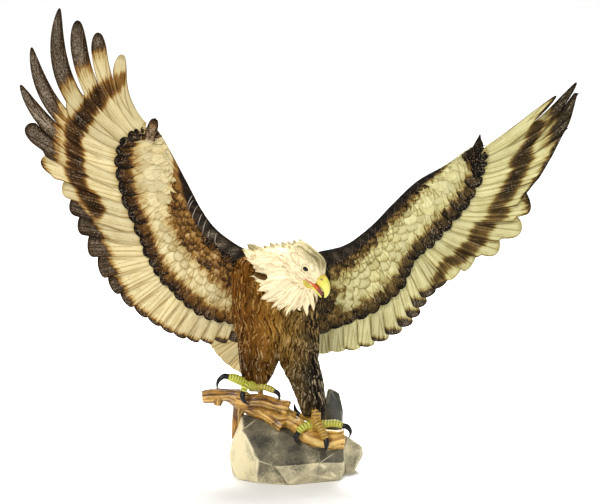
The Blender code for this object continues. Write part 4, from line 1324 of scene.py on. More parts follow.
def follow(surface, seeds, flow, length, lift):
    """Lines from seeds down the skin along flow(points), and the skin's normals under them."""
    n, rows = lift.shape
    centre, up = np.empty((n, rows, 3)), np.empty((n, rows, 3))
    here, normal, _ = surface.nearest(seeds)
    for k in range(rows):
        centre[:, k], up[:, k] = here + normal * lift[:, k, None], normal
        ahead = flow(here)
        ahead = unit(ahead - normal * np.sum(ahead * normal, -1, keepdims=True))
        here, found, _ = surface.nearest(here + ahead * (length / (rows - 1))[:, None])
        normal = unit(normal * 0.5 + found)
    return centre, up


def lock_outline(t, widest=0.45, power=1.7):
    """Half width along a lock as a share: narrow root, pointed tip."""
    rise = 0.55 + 0.45 * smooth(0, widest, t)
    fall = 1 - np.clip((t - widest) / (1 - widest), 0, 1) ** power
    return rise * np.maximum(fall, 0.03)


def body_strands(points):
    """Runs round the body, so that gouged strokes wave down it."""
    x, y, z = np.moveaxis(points, -1, 0)
    around = 60 * np.arctan2(x + 9, 60 - y)
    return around + 1.5 * np.sin(z / 4.2 + 0.12 * around + 1.5 * np.sin(z / 17)) \
        + 0.4 * np.sin(z / 1.7 + 0.4 * around)


def head_strands(points):
    """Runs round the head, so that fine lines sweep back from the brow."""
    ahead, up, side = head_space(points)
    return 17 * np.arctan2(side, up + 6) + 0.5 * np.sin(ahead / 2.6)


def lay_locks(name, centre, up, half, thick, finish, dark, patch, wave=0.5, cols=7,
              strands=None, offset=0.8):
    """Joined mesh of domed locks over their centre lines."""
    n, rows = centre.shape[:2]
    along = unit(np.gradient(centre, axis=1))
    across = unit(np.cross(along, up))
    up = unit(np.cross(across, along))
    up = up * np.sign(np.sum(up * np.cross(across, along), -1, keepdims=True))
    roll = chance.uniform(-0.25, 0.25, (n, 1, 1))
    across, up = across + up * roll, up - across * roll
    u, tt, aside = vane_grid(np.linspace(0, 1, rows), half, half, cols)
    creases = 0.22 * np.cos(u * 7.0 + chance.uniform(0, 6, (n, 1, 1)))
    top = thick * ((1 - np.abs(u) ** 2.4) + creases * (1 - u * u))
    top = top * (0.45 + 0.55 * np.minimum(1, 3 * (1 - tt)))
    length = np.sum(np.linalg.norm(np.diff(centre, axis=1), axis=-1), 1)[:, None, None]
    sway = wave * np.sin(tt * length * 0.7 + chance.uniform(0, 6, (n, 1, 1)))
    if strands is None:
        groove = aside * (1 + 0.3 * tt) + sway + chance.uniform(0, 9, (n, 1, 1))
    else:
        groove = strands(centre[:, :, None] + across[:, :, None] * aside[..., None])
        groove = groove + chance.uniform(0, offset, (n, 1, 1))
    marks = {"dark": np.clip(dark[:, :, None], 0, 1), "groove": groove,
             "edge": edge_mark(u, tt, 0.15), "tone": chance.uniform(0, 1, (n, 1, 1))}
    return vanes(name, centre, across, up, half, half, top, finish, marks, patch)


def patches(seeds, zone):
    """The small patch of the bake map for each lock, at its root's place."""
    place = skin_place(seeds, zone) - BAKE_PATCH / 2
    return np.concatenate([place, np.full((len(seeds), 2), BAKE_PATCH)], -1)


def size_at(size, points):
    """A size that is one number, or a function of the place."""
    return size(points) if callable(size) else np.full(len(points), size)


def coat_zone(name, surface, chosen, spacing, length, width, thick, flow, finish, dark_of, sway,
              rows=8, high=0.9, strands=None, offset=0.8):
    """Locks where chosen is true; spacing, length and width may be functions of the place."""
    faces = scatter(surface, np.flatnonzero(chosen), size_at(spacing, surface.centres))
    seeds = surface.centres[faces]
    n = len(seeds)
    lift = high * np.linspace(0, 1, rows)[None] * chance.uniform(0.7, 1.3, (n, 1))
    lean = chance.normal(0, sway, (n, 1))

    def leaning(points):
        ahead = unit(flow(points))
        side = unit(np.cross(ahead, points - BODY_MIDDLE))
        return ahead + side * lean

    reach = size_at(length, seeds) * chance.uniform(0.8, 1.2, n)
    centre, up = follow(surface, seeds, leaning, reach, lift)
    half = size_at(width, seeds) / 2 * chance.uniform(0.85, 1.15, n)
    half = half[:, None] * lock_outline(np.linspace(0, 1, rows)[None])
    dark = dark_of(centre) + 0.10 * chance.normal(0, 1, (n, 1)) * (dark_of(centre) > 0.2)
    return lay_locks(name, centre, up, half, thick, finish, dark,
                     patches(seeds, surface.zone[faces]), strands=strands, offset=offset)


# ---------------------------------------------------------------- body, neck and head

def body_flow(points):
    """Down the body, and away from the neck on the breast and from the shoulders on the back."""
    down = np.array((0.0, 0.10, -1.0)) + 0 * points
    away = points - (HEAD + NECK_AXIS * 12)
    near = np.exp(-np.linalg.norm(away, axis=-1, keepdims=True) / 22)
    return down + unit(away) * 1.6 * near


def face_flow(points):
    """Back from the bill over head and neck."""
    return points - (HEAD + FACE * 17)


def body_dark(points):
    """Body painted darker at its sides and under the wings than down the breast."""
    wobble = ripple(points, 9.0, 2.0)
    side = smooth(12, 34, np.abs(points[..., 0] + 6) + 3 * wobble)
    low = smooth(122, 92, points[..., 2] + 4 * wobble)
    return np.clip(0.28 + 0.34 * side + 0.40 * low + 0.20 * wobble, 0, 1)


def head_dark(points):
    """Grey-olive wash over crown and nape; the cheeks stay clean."""
    ahead, up, _ = head_space(points)
    line = np.interp(ahead, (-25, -15, -7, 1, 4, 10, 16), (4, 6.5, 7.5, 7.2, 8.5, 9, 8))
    wash = smooth(-3.5, 5.0, up - line + 0.8 * ripple(points, 4.0, 3.0))
    fade = 0.45 + 0.55 * smooth(-10, 3, ahead)
    return 0.60 * wash * fade * smooth(17.5, 14.0, ahead)


def nape_dark(points):
    """The crown's wash, and an olive rim along the top of the nape."""
    return np.maximum(head_dark(points), 0.56 * smooth(195.5, 200.5, points[..., 2]))


EYE_CLEAR = 3.4                 # no locks nearer the middle of an eye
CROWN_DARK = 0.25               # where the head is darker than this, the fine locks of the crown lie
# Mouth line on the cheek, in head space
GAPE = ((7.5, -5.6), (12, -4.4), (16, -3.3), (20, -3.8))


def bare_face(points):
    """True round the eyes and on the yellow skin of the gape."""
    ahead, up, side = head_space(points)
    eye = (np.hypot(ahead - EYE_SPOT[0], up - 1.4) < EYE_CLEAR) & (np.abs(side) > 6)
    gape = (ahead > 7.0) & (up < np.interp(ahead, *zip(*GAPE)) + 1.0) & (up > -11.5) \
        & (np.abs(side) < 12)
    return eye | gape | (ahead > 16.3)


def build_body_coat(surface, finish):
    """Locks on trunk and legs, but not under the ruff or where the left ankle comes out."""
    zone = surface.zone
    x, y, z = surface.centres.T
    nape = (z > 189) | ((z > 185) & (y < 8))
    piece = coat_zone("trunk_coat", surface, (zone == TRUNK) & ~nape, 3.4,
                      lambda p: 18.0 - 12 * smooth(180, 188, p[:, 2]),
                      lambda p: 5.4 - 2 * smooth(180, 188, p[:, 2]), 1.3,
                      body_flow, finish, body_dark, 0.24, rows=12,
                      strands=body_strands, offset=9)
    ankle = (z < 62) & (y < -12) & (np.abs(x - 22) < 5)
    for label, number in (("r", LEG_R), ("l", LEG_L)):
        piece = coat_zone(f"leg_{label}_coat", surface, (zone == number) & ~ankle, 2.5, 12.0, 4.2,
                          1.3, body_flow, finish, body_dark, 0.26, rows=10,
                          strands=body_strands, offset=9)


def build_head_coat(surface, finish):
    """Locks on the neck, fine ones on the crown, and short broad ones on the cheeks."""
    centres, zone = surface.centres, surface.zone
    shown = (zone == NECK) & ((centres - HEAD) @ NECK_AXIS < 25)
    piece = coat_zone("neck_coat", surface, shown, 2.3,
                      lambda p: 10 - 3 * smooth(12, 24, (p - HEAD) @ NECK_AXIS),
                      3.6, 0.7, face_flow, finish, nape_dark, 0.12)
    covered = (zone == HEAD_ZONE) & ~bare_face(centres)
    crown = head_dark(centres) > CROWN_DARK

    def size(crown_size, cheek_size):
        return lambda p: np.where(head_dark(p) > CROWN_DARK, crown_size, cheek_size)

    for name, part in (("crown_coat", crown), ("cheek_coat", ~crown)):
        piece = coat_zone(name, surface, covered & part, size(1.35, 1.5), size(7.5, 4.6),
                          size(1.7, 2.3), 0.38, face_flow, finish, head_dark, 0.08, high=0.45,
                          strands=head_strands)


# Tips of the ruff's pointed locks (x, y, z, half width), round the neck from the nape over the
# throat to the far side
# Tips of the ruff's long locks: x, y, z, half width
RUFF = ((20, 6, 192, 3.4), (14, 7, 197, 3.4), (8, 6, 200.5, 3.2), (3, 2, 200, 3.2),
        (-2, -2, 199.5, 3.2), (-7, -6, 199.5, 3.2), (-12, -10, 199, 3.2), (-17, -14, 199.5, 3.4),
        (-22, -19, 197.5, 3.6), (-27, -24, 196, 3.6), (-35.3, -30, 199.8, 4.0),
        (-39.2, -35.8, 196.2, 4.6), (-33.5, -36, 188, 4.0), (-27, -37, 178.5, 3.2),
        (-28.4, -43.4, 170.7, 2.6), (-26, -47, 163, 3.2), (-23.4, -49, 155.8, 4.2),
        (-18.5, -48, 153, 2.4), (-14.5, -46.6, 148, 2.6), (-8, -42.5, 145.8, 2.4),
        (-5.6, -41, 144.8, 1.8), (-3.1, -41.7, 140.7, 1.5), (3.5, -34, 143.8, 2.6),
        (13.4, -28.3, 139.7, 2.7), (19.2, -21.2, 142.9, 2.2), (23.4, -13.3, 149.4, 1.3),
        (27, -6, 157, 2.6), (29, 0, 168, 3.0), (27, 4, 179, 3.2))
RUFF_LENGTH = 21.0


def inner_ruff(tips):
    """Tips of the shorter locks, between those of the long ones and nearer the head."""
    between = (tips[1:] + tips[:-1]) / 2
    inward = unit(HEAD - between[:, :3])
    close = np.linalg.norm(tips[1:, :3] - tips[:-1, :3], axis=1)
    throat = smooth(168, 156, between[:, 2])
    between[:, :3] += inward * (4.0 + 0.45 * close + 3.5 * throat)[:, None]
    between[:, 3] = np.clip(close * 0.38, 1.6, 4.2)
    return between


def build_ruff(surface, finish):
    """Long pointed locks that end in the ragged rim of the neck, and shorter ones over them."""
    tips = np.array(RUFF)
    for name, tip, rise in (("long", tips, 0.6), ("short", inner_ruff(tips), 0.9)):
        n, rows = len(tip), 14
        t = np.linspace(0, 1, rows)
        target, z = tip[:, :3], tip[:, 2, None]
        goal = HEAD + FACE * 4 + unit(target - HEAD) * 2
        start = target + unit(goal - target) * RUFF_LENGTH
        line = start[:, None] + (target - start)[:, None] * t[:, None]
        spots, normals, _ = surface.nearest(line.reshape(-1, 3))
        spots, normals = spots.reshape(line.shape), normals.reshape(line.shape)
        height = np.sum((line - spots) * normals, -1)
        held = np.maximum(rise + 0.5 * t - height, 0) * (1 - smooth(0.45, 0.85, t))
        sag = smooth(188, 196, z) * np.sin(math.pi * t) * 1.6
        centre = line + normals * held[..., None] + sag[..., None] * np.array((0.35, 0.0, -1.0))
        up = unit(np.where((t < 0.6)[:, None], normals, normals[:, int(0.55 * rows), None])
                  + np.array((0.0, -1.3, 0.0)))
        throat = smooth(168, 156, z) * smooth(0.40, 0.68, t)
        half = tip[:, 3:] * lock_outline(t, 0.4, 3.4)[None] * 1.15 * (1 - 0.36 * throat)
        across = unit(np.cross(target - start, (0.0, -1.0, 0.0)))
        bend = 0.9 * throat * np.sin(5 * t + chance.uniform(0, 6, (n, 1)))
        centre = centre + across[:, None] * bend[..., None]
        olive_tips = 0.6 * smooth(192, 197, centre[..., 2]) * smooth(0.1, 0.85, t)
        dark = np.maximum(head_dark(centre) * 0.6, olive_tips)
        piece = lay_locks(f"ruff_{name}", centre, up, half, 1.0, finish, dark,
                          patches(start, np.full(n, NECK)), wave=0.3, cols=9)


# The brown lock: x, z, half width
FINGER = ((-31, 177.6, 1.3), (-27, 176.4, 1.9), (-23, 175.0, 2.4), (-19.5, 174.2, 2.1),
          (-18.2, 174.0, 0.4))
BREAST = -44.0                  # y just in front of the mane


def build_finger(surface, finish):
    """The one brown lock of the body that lies over the mane."""
    x, z, half = curve(FINGER, np.linspace(0, len(FINGER) - 1, 16)).T
    spots = np.stack([x, np.full(16, BREAST), z], -1)
    on_skin, normals, _ = surface.nearest(spots)
    centre = np.stack([x, on_skin[:, 1] - 3.4, z], -1)[None]
    up = unit(normals + np.array((0.0, -1.0, 0.0)))[None]
    piece = lay_locks("neck_finger", centre, up, np.maximum(half, 0.3)[None], 1.5, finish,
                      np.full((1, 16), 0.95), patches(spots[:1], np.full(1, NECK)), cols=9)


def rings_mesh(rings):
    """Points and faces of a closed tube through rings (n, sides, 3)."""
    n, sides = rings.shape[:2]
    grid = np.arange(n * sides).reshape(n, sides)
    nxt = np.roll(grid, -1, 1)
    quads = np.stack([grid[:-1], nxt[:-1], nxt[1:], grid[1:]], -1).reshape(-1, 4)
    return rings.reshape(-1, 3), [quads, np.stack([grid[0, ::-1], grid[-1]])]


def face_outwards(mesh):
    """Makes a closed mesh's faces point outwards."""
    shape = bmesh.new()
    shape.from_mesh(mesh)
    bmesh.ops.recalc_face_normals(shape, faces=shape.faces)
    shape.to_mesh(mesh)
    shape.free()
    return mesh


def sound(piece):
    face_outwards(piece.data)
    return piece


def bill_surface(path, steps, sides, fullness):
    """Rings along a bill: path of (ahead, up, half height, half width) in head space."""
    ahead, up, tall, wide = curve(path, np.linspace(0, len(path) - 1, steps)).T
    tall, wide = np.maximum(tall, 0.15), np.maximum(wide, 0.15)
    slope = np.arctan2(np.gradient(up), np.gradient(ahead)) * smooth(0, 0.2, np.linspace(0, 1, steps))
    turn = np.linspace(0, math.tau, sides, endpoint=False)
    c, s = np.cos(turn), np.sin(turn)
    rise = tall[:, None] * np.sign(s) * np.abs(s) ** fullness
    aside = wide[:, None] * np.sign(c) * np.abs(c) ** fullness
    along = ahead[:, None] - rise * np.sin(slope)[:, None]
    height = up[:, None] + rise * np.cos(slope)[:, None]
    rings = HEAD + along[..., None] * FACE + height[..., None] * CROWN + aside[..., None] * SIDE
    return rings, along, height, aside


# Bills and mouth: ahead, up, half height, half width in head space
BILL_UPPER = ((13.5, 1.6, 4.4, 6.2), (16, 1.7, 4.9, 6.1), (17.6, 1.8, 5.0, 5.6), (20, 1.5, 4.9, 4.9),
              (22.5, 0.8, 4.4, 4.2), (25, -0.4, 3.7, 3.4), (27.2, -2.1, 2.8, 2.7),
              (28.5, -4.0, 2.0, 1.9), (29.2, -5.8, 1.2, 1.2), (29.3, -7.4, 0.4, 0.4))
BILL_LOWER = ((8, -7.0, 1.2, 10.2), (10, -7.5, 2.5, 9.5), (12.5, -7.7, 2.9, 8.2), (15, -7.4, 2.2, 6.6),
              (18, -7.0, 1.3, 5.2), (22, -7.6, 0.9, 3.6), (25, -8.2, 0.8, 2.4), (27.3, -8.8, 0.4, 1.2))
MOUTH = ((6.6, -5.6, 0.4, 10.2), (9, -5.2, 0.5, 10.5), (12, -4.9, 0.7, 9.5), (16, -4.6, 1.1, 6.8),
         (20, -5.0, 1.6, 4.3), (24, -6.2, 1.6, 2.7), (26.4, -7.2, 1.0, 1.5))
NOSTRIL = (18.6, 3.0)           # ahead and up in head space


def build_bill(paints):
    """Hooked upper bill with nostrils, lower bill with the yellow gape, and the red mouth."""
    for name, path, finish, slot, replaced in (
            ("bill_upper_form", BILL_UPPER, paints["bill"], "yellow_paint", "bill_upper"),
            ("bill_lower_form", BILL_LOWER, paints["bill"], "yellow_paint", "bill_lower"),
            ("mouth_form", MOUTH, paints["mouth"], "red_paint", "mouth")):
        rings, along, height, aside = bill_surface(path, 56, 40, 0.8 if path is BILL_UPPER else 0.6)
        dark = np.zeros(along.shape)
        if path is BILL_UPPER:
            near = np.hypot(along - NOSTRIL[0], (height - NOSTRIL[1]) / 0.55)
            dark = smooth(1.5, 0.8, near)
            rings = rings - (np.sign(aside) * dark * 0.5)[..., None] * SIDE
            cere = smooth(19.4, 18.4, along) * smooth(13, 15, along)
            rings = rings + (cere * 0.25)[..., None] * unit(rings - rings.mean(1, keepdims=True))
        elif path is MOUTH:
            # painted shade: the mouth goes darker towards the front, to near black, where it shows
            # between the bills
            dark = 0.35 + 0.65 * smooth(19, 23, along)
        points, faces = rings_mesh(rings)
        marks = {"dark": dark, "tone": smooth(12, 27, along), "edge": smooth(0.7, 1.0, -height / 9)}
        piece = sound(make_piece(name, points, faces, finish, marks))
        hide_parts(replaced)


EYE_SPOT = (3.6, 1.5, 11.8)     # ahead, up and aside in head space
EYE_SIZE = 2.4
LID_SIZE = (2.75, 2.2)          # half length and half height of the rim round an eye


def eye_frame(side):
    """Middle of an eye, the direction it looks in, and two directions across it."""
    centre = HEAD + FACE * EYE_SPOT[0] + CROWN * EYE_SPOT[1] + SIDE * side * EYE_SPOT[2]
    out = unit(SIDE * side + 0.22 * FACE)
    first = unit(FACE - out * (FACE @ out))
    return centre, out, first, np.cross(out, first)


def build_eyeball(name, side, finish):
    """Glossy ball with a dark pupil in front."""
    centre, out, first, second = eye_frame(side)
    latitude = np.linspace(0.04, math.pi - 0.04, 22)[:, None, None]
    turn = np.linspace(0, math.tau, 32, endpoint=False)[None, :, None]
    ball = centre + EYE_SIZE * (np.cos(latitude) * out + np.sin(latitude)
                                * (np.cos(turn) * first + np.sin(turn) * second))
    pupil = smooth(1.75, 1.45, np.sin(latitude) * EYE_SIZE) * (latitude < math.pi / 2)
    return sound(make_piece(name, *rings_mesh(ball), finish, {"dark": pupil + 0 * turn}))


def build_lid(name, side, finish):
    """Carved rim round an eye, longer to the front and thicker above."""
    centre, out, first, second = eye_frame(side)
    turn = np.linspace(0, math.tau, 48, endpoint=False)
    long = LID_SIZE[0] + 0.45 * (np.cos(turn) > 0) * np.cos(turn) ** 4
    rim = centre + out * (0.95 + 0.35 * np.sin(turn) ** 2)[:, None] \
        + first * (long * np.cos(turn))[:, None] + second * (LID_SIZE[1] * np.sin(turn))[:, None]
    thick = 0.42 + 0.30 * np.maximum(np.sign(CROWN @ second) * np.sin(turn), 0)
    return ring_tube(name, rim, thick, out, finish)


def build_eyes(paints):
    """Eyeballs under carved lids."""
    for label, side in (("r", 1), ("l", -1)):
        piece = build_eyeball(f"eye_{label}_ball", side, paints["eye"])
        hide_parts(f"eye_{label}")
        piece = build_lid(f"lid_{label}", side, paints["lid"])
        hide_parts(f"eye_{label}")


def ring_tube(name, rim, thick, out, finish):
    """Closed ring of round section along rim."""
    along = unit(np.roll(rim, -1, 0) - np.roll(rim, 1, 0))
    first = unit(np.cross(along, out))
    turn = np.linspace(0, math.tau, 10, endpoint=False)[None, :, None]
    rings = rim[:, None] + thick[:, None, None] * (np.cos(turn) * first[:, None]
                                                   + np.sin(turn) * out)
    grid = np.arange(len(rim) * 10).reshape(-1, 10)
    nxt = np.roll(grid, -1, 1)
    quads = np.stack([grid, nxt, np.roll(nxt, -1, 0), np.roll(grid, -1, 0)], -1).reshape(-1, 4)
    return sound(make_piece(name, rings.reshape(-1, 3), [quads], finish, {"dark": 0.0}))


# ---------------------------------------------------------------- tail and thumb feathers

TAIL_ROOT = (-18.0, 128.0)      # x and z of the point that the fan spreads from
TAIL_TURNS = (203.0, 268.0)     # degrees between which it spreads
TAIL_FEATHERS = 7
TAIL_LENGTH = 61.0
TAIL_DEPTH = (20.0, 82.0)       # y at the root and at the tips
TAIL_STEP = 0.9                 # between a feather and its neighbours at the tips


def build_tail(finish):
    """Fan of tail feathers, each over its neighbour."""
    rows, cols = 30, 15
    n = TAIL_FEATHERS
    step = (TAIL_TURNS[1] - TAIL_TURNS[0]) / n
    turn = np.radians(TAIL_TURNS[0] + (np.arange(n) + 0.5) * step)[:, None]
    t = (1 - (1 - np.linspace(0, 1, rows)) ** 1.4)[None]
    out = TAIL_LENGTH * (0.12 + 0.875 * t)
    depth = TAIL_DEPTH[0] + (TAIL_DEPTH[1] - TAIL_DEPTH[0]) * out / TAIL_LENGTH
    order = (np.arange(n)[:, None] % 2 - 0.5) * TAIL_STEP
    centre = np.stack([TAIL_ROOT[0] + out * np.cos(turn), depth + order * t,
                       TAIL_ROOT[1] + out * np.sin(turn)], -1)
    half = (out * math.radians(step) / 2 * 1.3 + 0.6) * outline(t, 0.94, 2.2) + 0 * turn
    along = unit(np.gradient(centre, axis=1))
    side = np.stack([-np.sin(turn), 0 * turn, np.cos(turn)], -1) + 0 * along
    up = unit(np.cross(side, along))
    up = up * -np.sign(up[..., 1:2])
    side = unit(side + up * 0.10)
    u, tt, aside = vane_grid(t, half, half, cols)
    top = 0.35 + 0.35 * (1 - np.abs(u) ** 2.2) + 0.2 * np.exp(-(u / 0.09) ** 2)
    top = top * (1.5 - 0.8 * tt)
    tone = chance.uniform(0, 1, (n, 1, 1))
    marks = {"dark": np.clip(0.13 + 0.06 * smooth(0.6, 1, np.abs(u)) + 0.05 * tone, 0, 1),
             "groove": barbs(out[..., None] * 1.3, aside, 0.08) + 5 * tone,
             "edge": 0.5 * edge_mark(u, tt, 0.04), "tone": tone}
    piece = vanes("tail_feathers", centre, side, up, half, half, top, finish, marks, cells(n),
                  back=top)
    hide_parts("tail")


# Thumb feathers: root and tip (x, z), half width, distance in front of the wing, how blunt, taper
ALULAS = {"r": ((-117.5, 284.0, -112.2, 302.4, 4.6, 2.2, 5.0, 1),),
          "l": ((155, 267, 158.7, 289.3, 7.4, 1.2, 1.15, 2), (150, 266, 151, 278, 5.0, 1.8, 1.3, 2))}


def build_alulas(label, finish):
    """Small thumb feathers at the wrist."""
    wing = WINGS[label]
    rows, cols = 14, 9
    x, z, tip_x, tip_z, width, front, blunt, taper = np.array(ALULAS[label], float).T[..., None]
    n = len(ALULAS[label])
    t = np.linspace(0, 1, rows)[None]
    depth = wing_depth(wing, feather_count(wing) - 1, CHORD_ARM) - front + 0 * t
    centre = np.stack([x + (tip_x - x) * t, depth, z + (tip_z - z) * t], -1)
    half = width * np.sqrt(1 - t ** blunt) ** taper + 0.1
    up = np.array((0.0, -1.0, 0.0)) + 0 * centre
    across = unit(np.cross(unit(np.gradient(centre, axis=1)), up))
    u, tt, aside = vane_grid(t, half, half, cols)
    rim = smooth(0.35, 0.85, np.maximum(np.abs(u), tt * 0.95))
    middle = np.maximum(0.5, 0.6 * smooth(0.45, 0.2, tt))
    marks = {"dark": np.maximum(middle, 0.94 * rim) if label == "r" else 0.95,
             "groove": barbs(tt * 14, aside, 0.5), "edge": edge_mark(u, tt), "tone": 0.5,
             "ash": (1 - rim) * (0.75 if label == "r" else 0.0)}
    top = 1.5 - u * u
    piece = vanes(f"wing_{label}_thumb", centre, across, up, half, half, top, finish, marks,
                  cells(n), back=top)
    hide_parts(f"wing_{label}_alula")


# ---------------------------------------------------------------- feet, branch and rock

# Shanks, toes and talons as paths of (x, y, z, radius), and the tones of shank and toes
FEET = {
    "r": {
        "shank_tone": 0.5,
        "tones": (0.18, 0.26, 0.5, 0.85),
        "shank": ((-30, -6, 79.4, 6.0), (-30, -8, 76, 5.5), (-30, -9, 73, 4.5)),
        "toes": (((-31, -8, 78, 4.6), (-39, -11, 81, 4.4), (-46, -13, 84.5, 4.0), (-52, -15, 86.5, 2.8)),
                 ((-30, -10, 78, 4.2), (-33, -17, 80, 3.5), (-37, -21, 79, 3.2), (-39, -23, 75, 2.6)),
                 ((-29, -9, 78, 4.0), (-23, -11, 77.5, 3.4), (-18, -12, 76, 3.1), (-13, -13, 74, 2.5)),
                 ((-29, -6, 77, 4.2), (-28, 2, 76, 3.6), (-26, 6, 72, 3.2), (-25, 8, 68, 2.6))),
        "talons": (((-51.2, -14.8, 86.4, 2.4), (-55.5, -16, 87, 2.4), (-59.8, -17, 83.5, 1.7),
                    (-61, -17, 79, 0.9), (-60.3, -17, 75.6, 0.3)),
                   ((-38.6, -22.6, 75.6, 2.3), (-39.6, -25, 71.5, 2.2), (-38.3, -26.2, 68, 1.6),
                    (-36, -26.2, 65.8, 0.8), (-33.8, -26, 64.6, 0.3)),
                   ((-13.6, -12.9, 74.2, 2.1), (-10.4, -14, 72.6, 2.0), (-9, -14.6, 70, 1.4),
                    (-9, -15, 68, 0.8), (-9.8, -15, 66, 0.3)),
                   ((-25, 7.6, 68.6, 2.3), (-24.5, 9.8, 64, 2.1), (-25, 10, 60, 1.5),
                    (-25.6, 9, 57, 0.8), (-26.2, 8, 54.8, 0.3))),
    },
    "l": {
        "shank_tone": 0.9,
        "tones": (0.18, 0.78, 0.34, 0.85),
        "shank": ((20.5, -22.0, 62.5, 4.0), (21.6, -23.5, 57, 4.6), (21.5, -23.5, 51, 5.2),
                  (20.5, -22, 45, 5.0)),
        "toes": (((20, -22, 47, 4.2), (15, -25, 47, 3.6), (10, -27, 45, 3.2), (7, -28, 42, 2.6)),
                 ((21.5, -25, 51, 4.2), (24, -29.5, 48, 3.9), (27, -32.5, 43, 3.5), (29.5, -35, 37, 2.8)),
                 ((22, -22, 47, 4.2), (30, -23, 48, 3.6), (38, -24, 48.5, 3.3), (44, -25, 47, 2.6)),
                 ((20, -20, 50, 4.0), (15, -14, 51, 3.4), (12, -11, 51.5, 3.0), (9, -9, 52, 2.5))),
        "talons": (((7.6, -27.7, 42.6, 2.3), (5.4, -30, 39, 2.2), (5.4, -31, 35.8, 1.5),
                    (7, -31.2, 33.4, 0.8), (9.2, -31, 31.8, 0.3)),
                   ((29.8, -34.6, 38, 2.3), (30.5, -37, 34, 2.2), (30.2, -37.7, 31, 1.5),
                    (29.6, -37.4, 28.8, 0.8), (28.8, -37, 27.2, 0.3)),
                   ((43.2, -24.8, 47.2, 2.3), (47.8, -25.8, 46, 2.3), (50.4, -26.5, 42.6, 1.6),
                    (50.2, -27, 39.4, 0.8), (48.8, -27, 36.6, 0.3)),
                   ((9.2, -9.2, 51.8, 2.2), (6, -7.6, 54.4, 2.1), (4.2, -7, 58, 1.4),
                    (3.9, -6.6, 60.6, 0.8), (4.3, -6.4, 62.8, 0.3))),
    },
}
ANKLE = ((22, -17.5, 60, 7.8), (23, -18, 54, 7.3), (23.3, -19, 49, 6.3), (21.3, -21, 45, 4.8))
SCUTE = 2.4                     # length of one scale of the toes


def tube_rings(path, steps, sides):
    """Middles, radii, directions outwards and distances along a path of (x, y, z, radius)."""
    line = curve(path, np.linspace(0, len(path) - 1, steps))
    centre, radius = line[:, :3], np.maximum(line[:, 3], 0.1)
    along = unit(np.gradient(centre, axis=0))
    first = unit(np.cross(along[0], (0.31, 0.17, 0.93)))
    firsts = []
    for direction in along:
        first = unit(first - direction * (first @ direction))
        firsts.append(first)
    firsts = np.array(firsts)
    seconds = np.cross(along, firsts)
    turn = np.linspace(0, math.tau, sides, endpoint=False)[:, None]
    spoke = np.cos(turn) * firsts[:, None] + np.sin(turn) * seconds[:, None]
    run = np.concatenate([[0], np.cumsum(np.linalg.norm(np.diff(centre, axis=0), axis=1))])
    return centre, radius, spoke, run


def close_ends(rings, centre):
    """Extra rings that round off both ends of a tube."""
    start = [centre[0] + (rings[0] - centre[0]) * k for k in (0.15, 0.6)]
    end = [centre[-1] + (rings[-1] - centre[-1]) * k for k in (0.6, 0.15)]
    return np.concatenate([[start[0], start[1]], rings, [end[0], end[1]]])


def build_toe(name, path, finish, tone, dark=0.0):
    """Toe or shank with rows of scales across its upper side."""
    centre, radius, spoke, run = tube_rings(path, 64, 28)
    beat = np.abs(np.sin(run / SCUTE * math.pi))[:, None]
    top = np.clip(0.35 + spoke[..., 2] * 0.9 - spoke[..., 1] * 0.5, 0, 1)
    knuckle = 1 + 0.06 * np.sin(run / run[-1] * math.pi * 3)[:, None]
    size = radius[:, None] * knuckle * (0.86 + 0.14 * beat ** 0.6 * top + 0.03 * (1 - top))
    rings = close_ends(centre[:, None] + spoke * size[..., None], centre)
    groove = np.pad((1 - beat) ** 1.5 * top, ((2, 2), (0, 0)), mode="edge")
    marks = {"dark": np.maximum(groove, dark), "tone": tone, "edge": 0.0}
    return sound(make_piece(name, *rings_mesh(rings), finish, marks))


def build_claw(name, path, finish):
    """Smooth tapering claw."""
    centre, radius, spoke, _ = tube_rings(path, 36, 20)
    rings = close_ends(centre[:, None] + spoke * radius[:, None, None], centre)
    return sound(make_piece(name, *rings_mesh(rings), finish, {"tone": 0.0}))


def build_feet(paints):
    """Shanks, toes and claws, and the brown feathers down the left ankle."""
    for label, foot in FEET.items():
        piece = build_toe(f"foot_{label}_shank", foot["shank"], paints["toe"], foot["shank_tone"])
        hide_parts(f"foot_{label}")
        if label == "l":
            piece = build_toe("foot_l_ankle", ANKLE, paints["body"], 0.5, 0.9)
            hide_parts("foot_l")
        parts = zip(foot["toes"], foot["talons"], foot["tones"])
        for number, (toe, talon, tone) in enumerate(parts, 1):
            piece = build_toe(f"foot_{label}_toe_{number}", toe, paints["toe"], tone)
            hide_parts(f"foot_{label}")
            piece = build_claw(f"claw_{label}_{number}", talon, paints["claw"])
            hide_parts(f"talon_{label}_{number}")


# Pieces of the branch as paths of (x, y, z, radius)
BRANCHES = {
    "main": ((-74, -8, 68, 5.2), (-66, -8, 69, 6.4), (-54, -8, 70, 5.6), (-42, -8, 66, 8.6),
             (-30, -9, 59, 8.0), (-18, -12, 52, 6.0), (-6, -16, 44, 6.4)),
    "knob": ((-60, -8, 69, 4.8), (-60.5, -8, 64, 4.0), (-61, -8, 60.5, 3.2)),
    "stub": ((-38, -13, 66, 5.0), (-27, -14, 65.5, 7.0), (-14, -14, 63, 6.4), (-1, -16, 59, 6.8)),
    "stem": ((-43, -6, 62, 5.0), (-44, -5, 52, 5.0), (-45, -6, 42, 4.6), (-45.5, -6, 32, 4.8)),
    "log": ((-3, -10, 50, 5.5), (6, -15, 45, 7.0), (16, -20, 37, 8.6), (30, -20, 34, 9.0),
            (45, -18, 34, 8.6)),
    "bridge": ((-12, -14, 47, 5.5), (-4, -12, 49, 6.0), (6, -15, 45, 6.0)),
    "splinter": ((-10, -14, 55, 4.5), (-2, -12, 54, 5.2), (4, -12, 51, 4.5)),
}
BRANCH_VOXEL = 0.7              # size of the grid that joins them


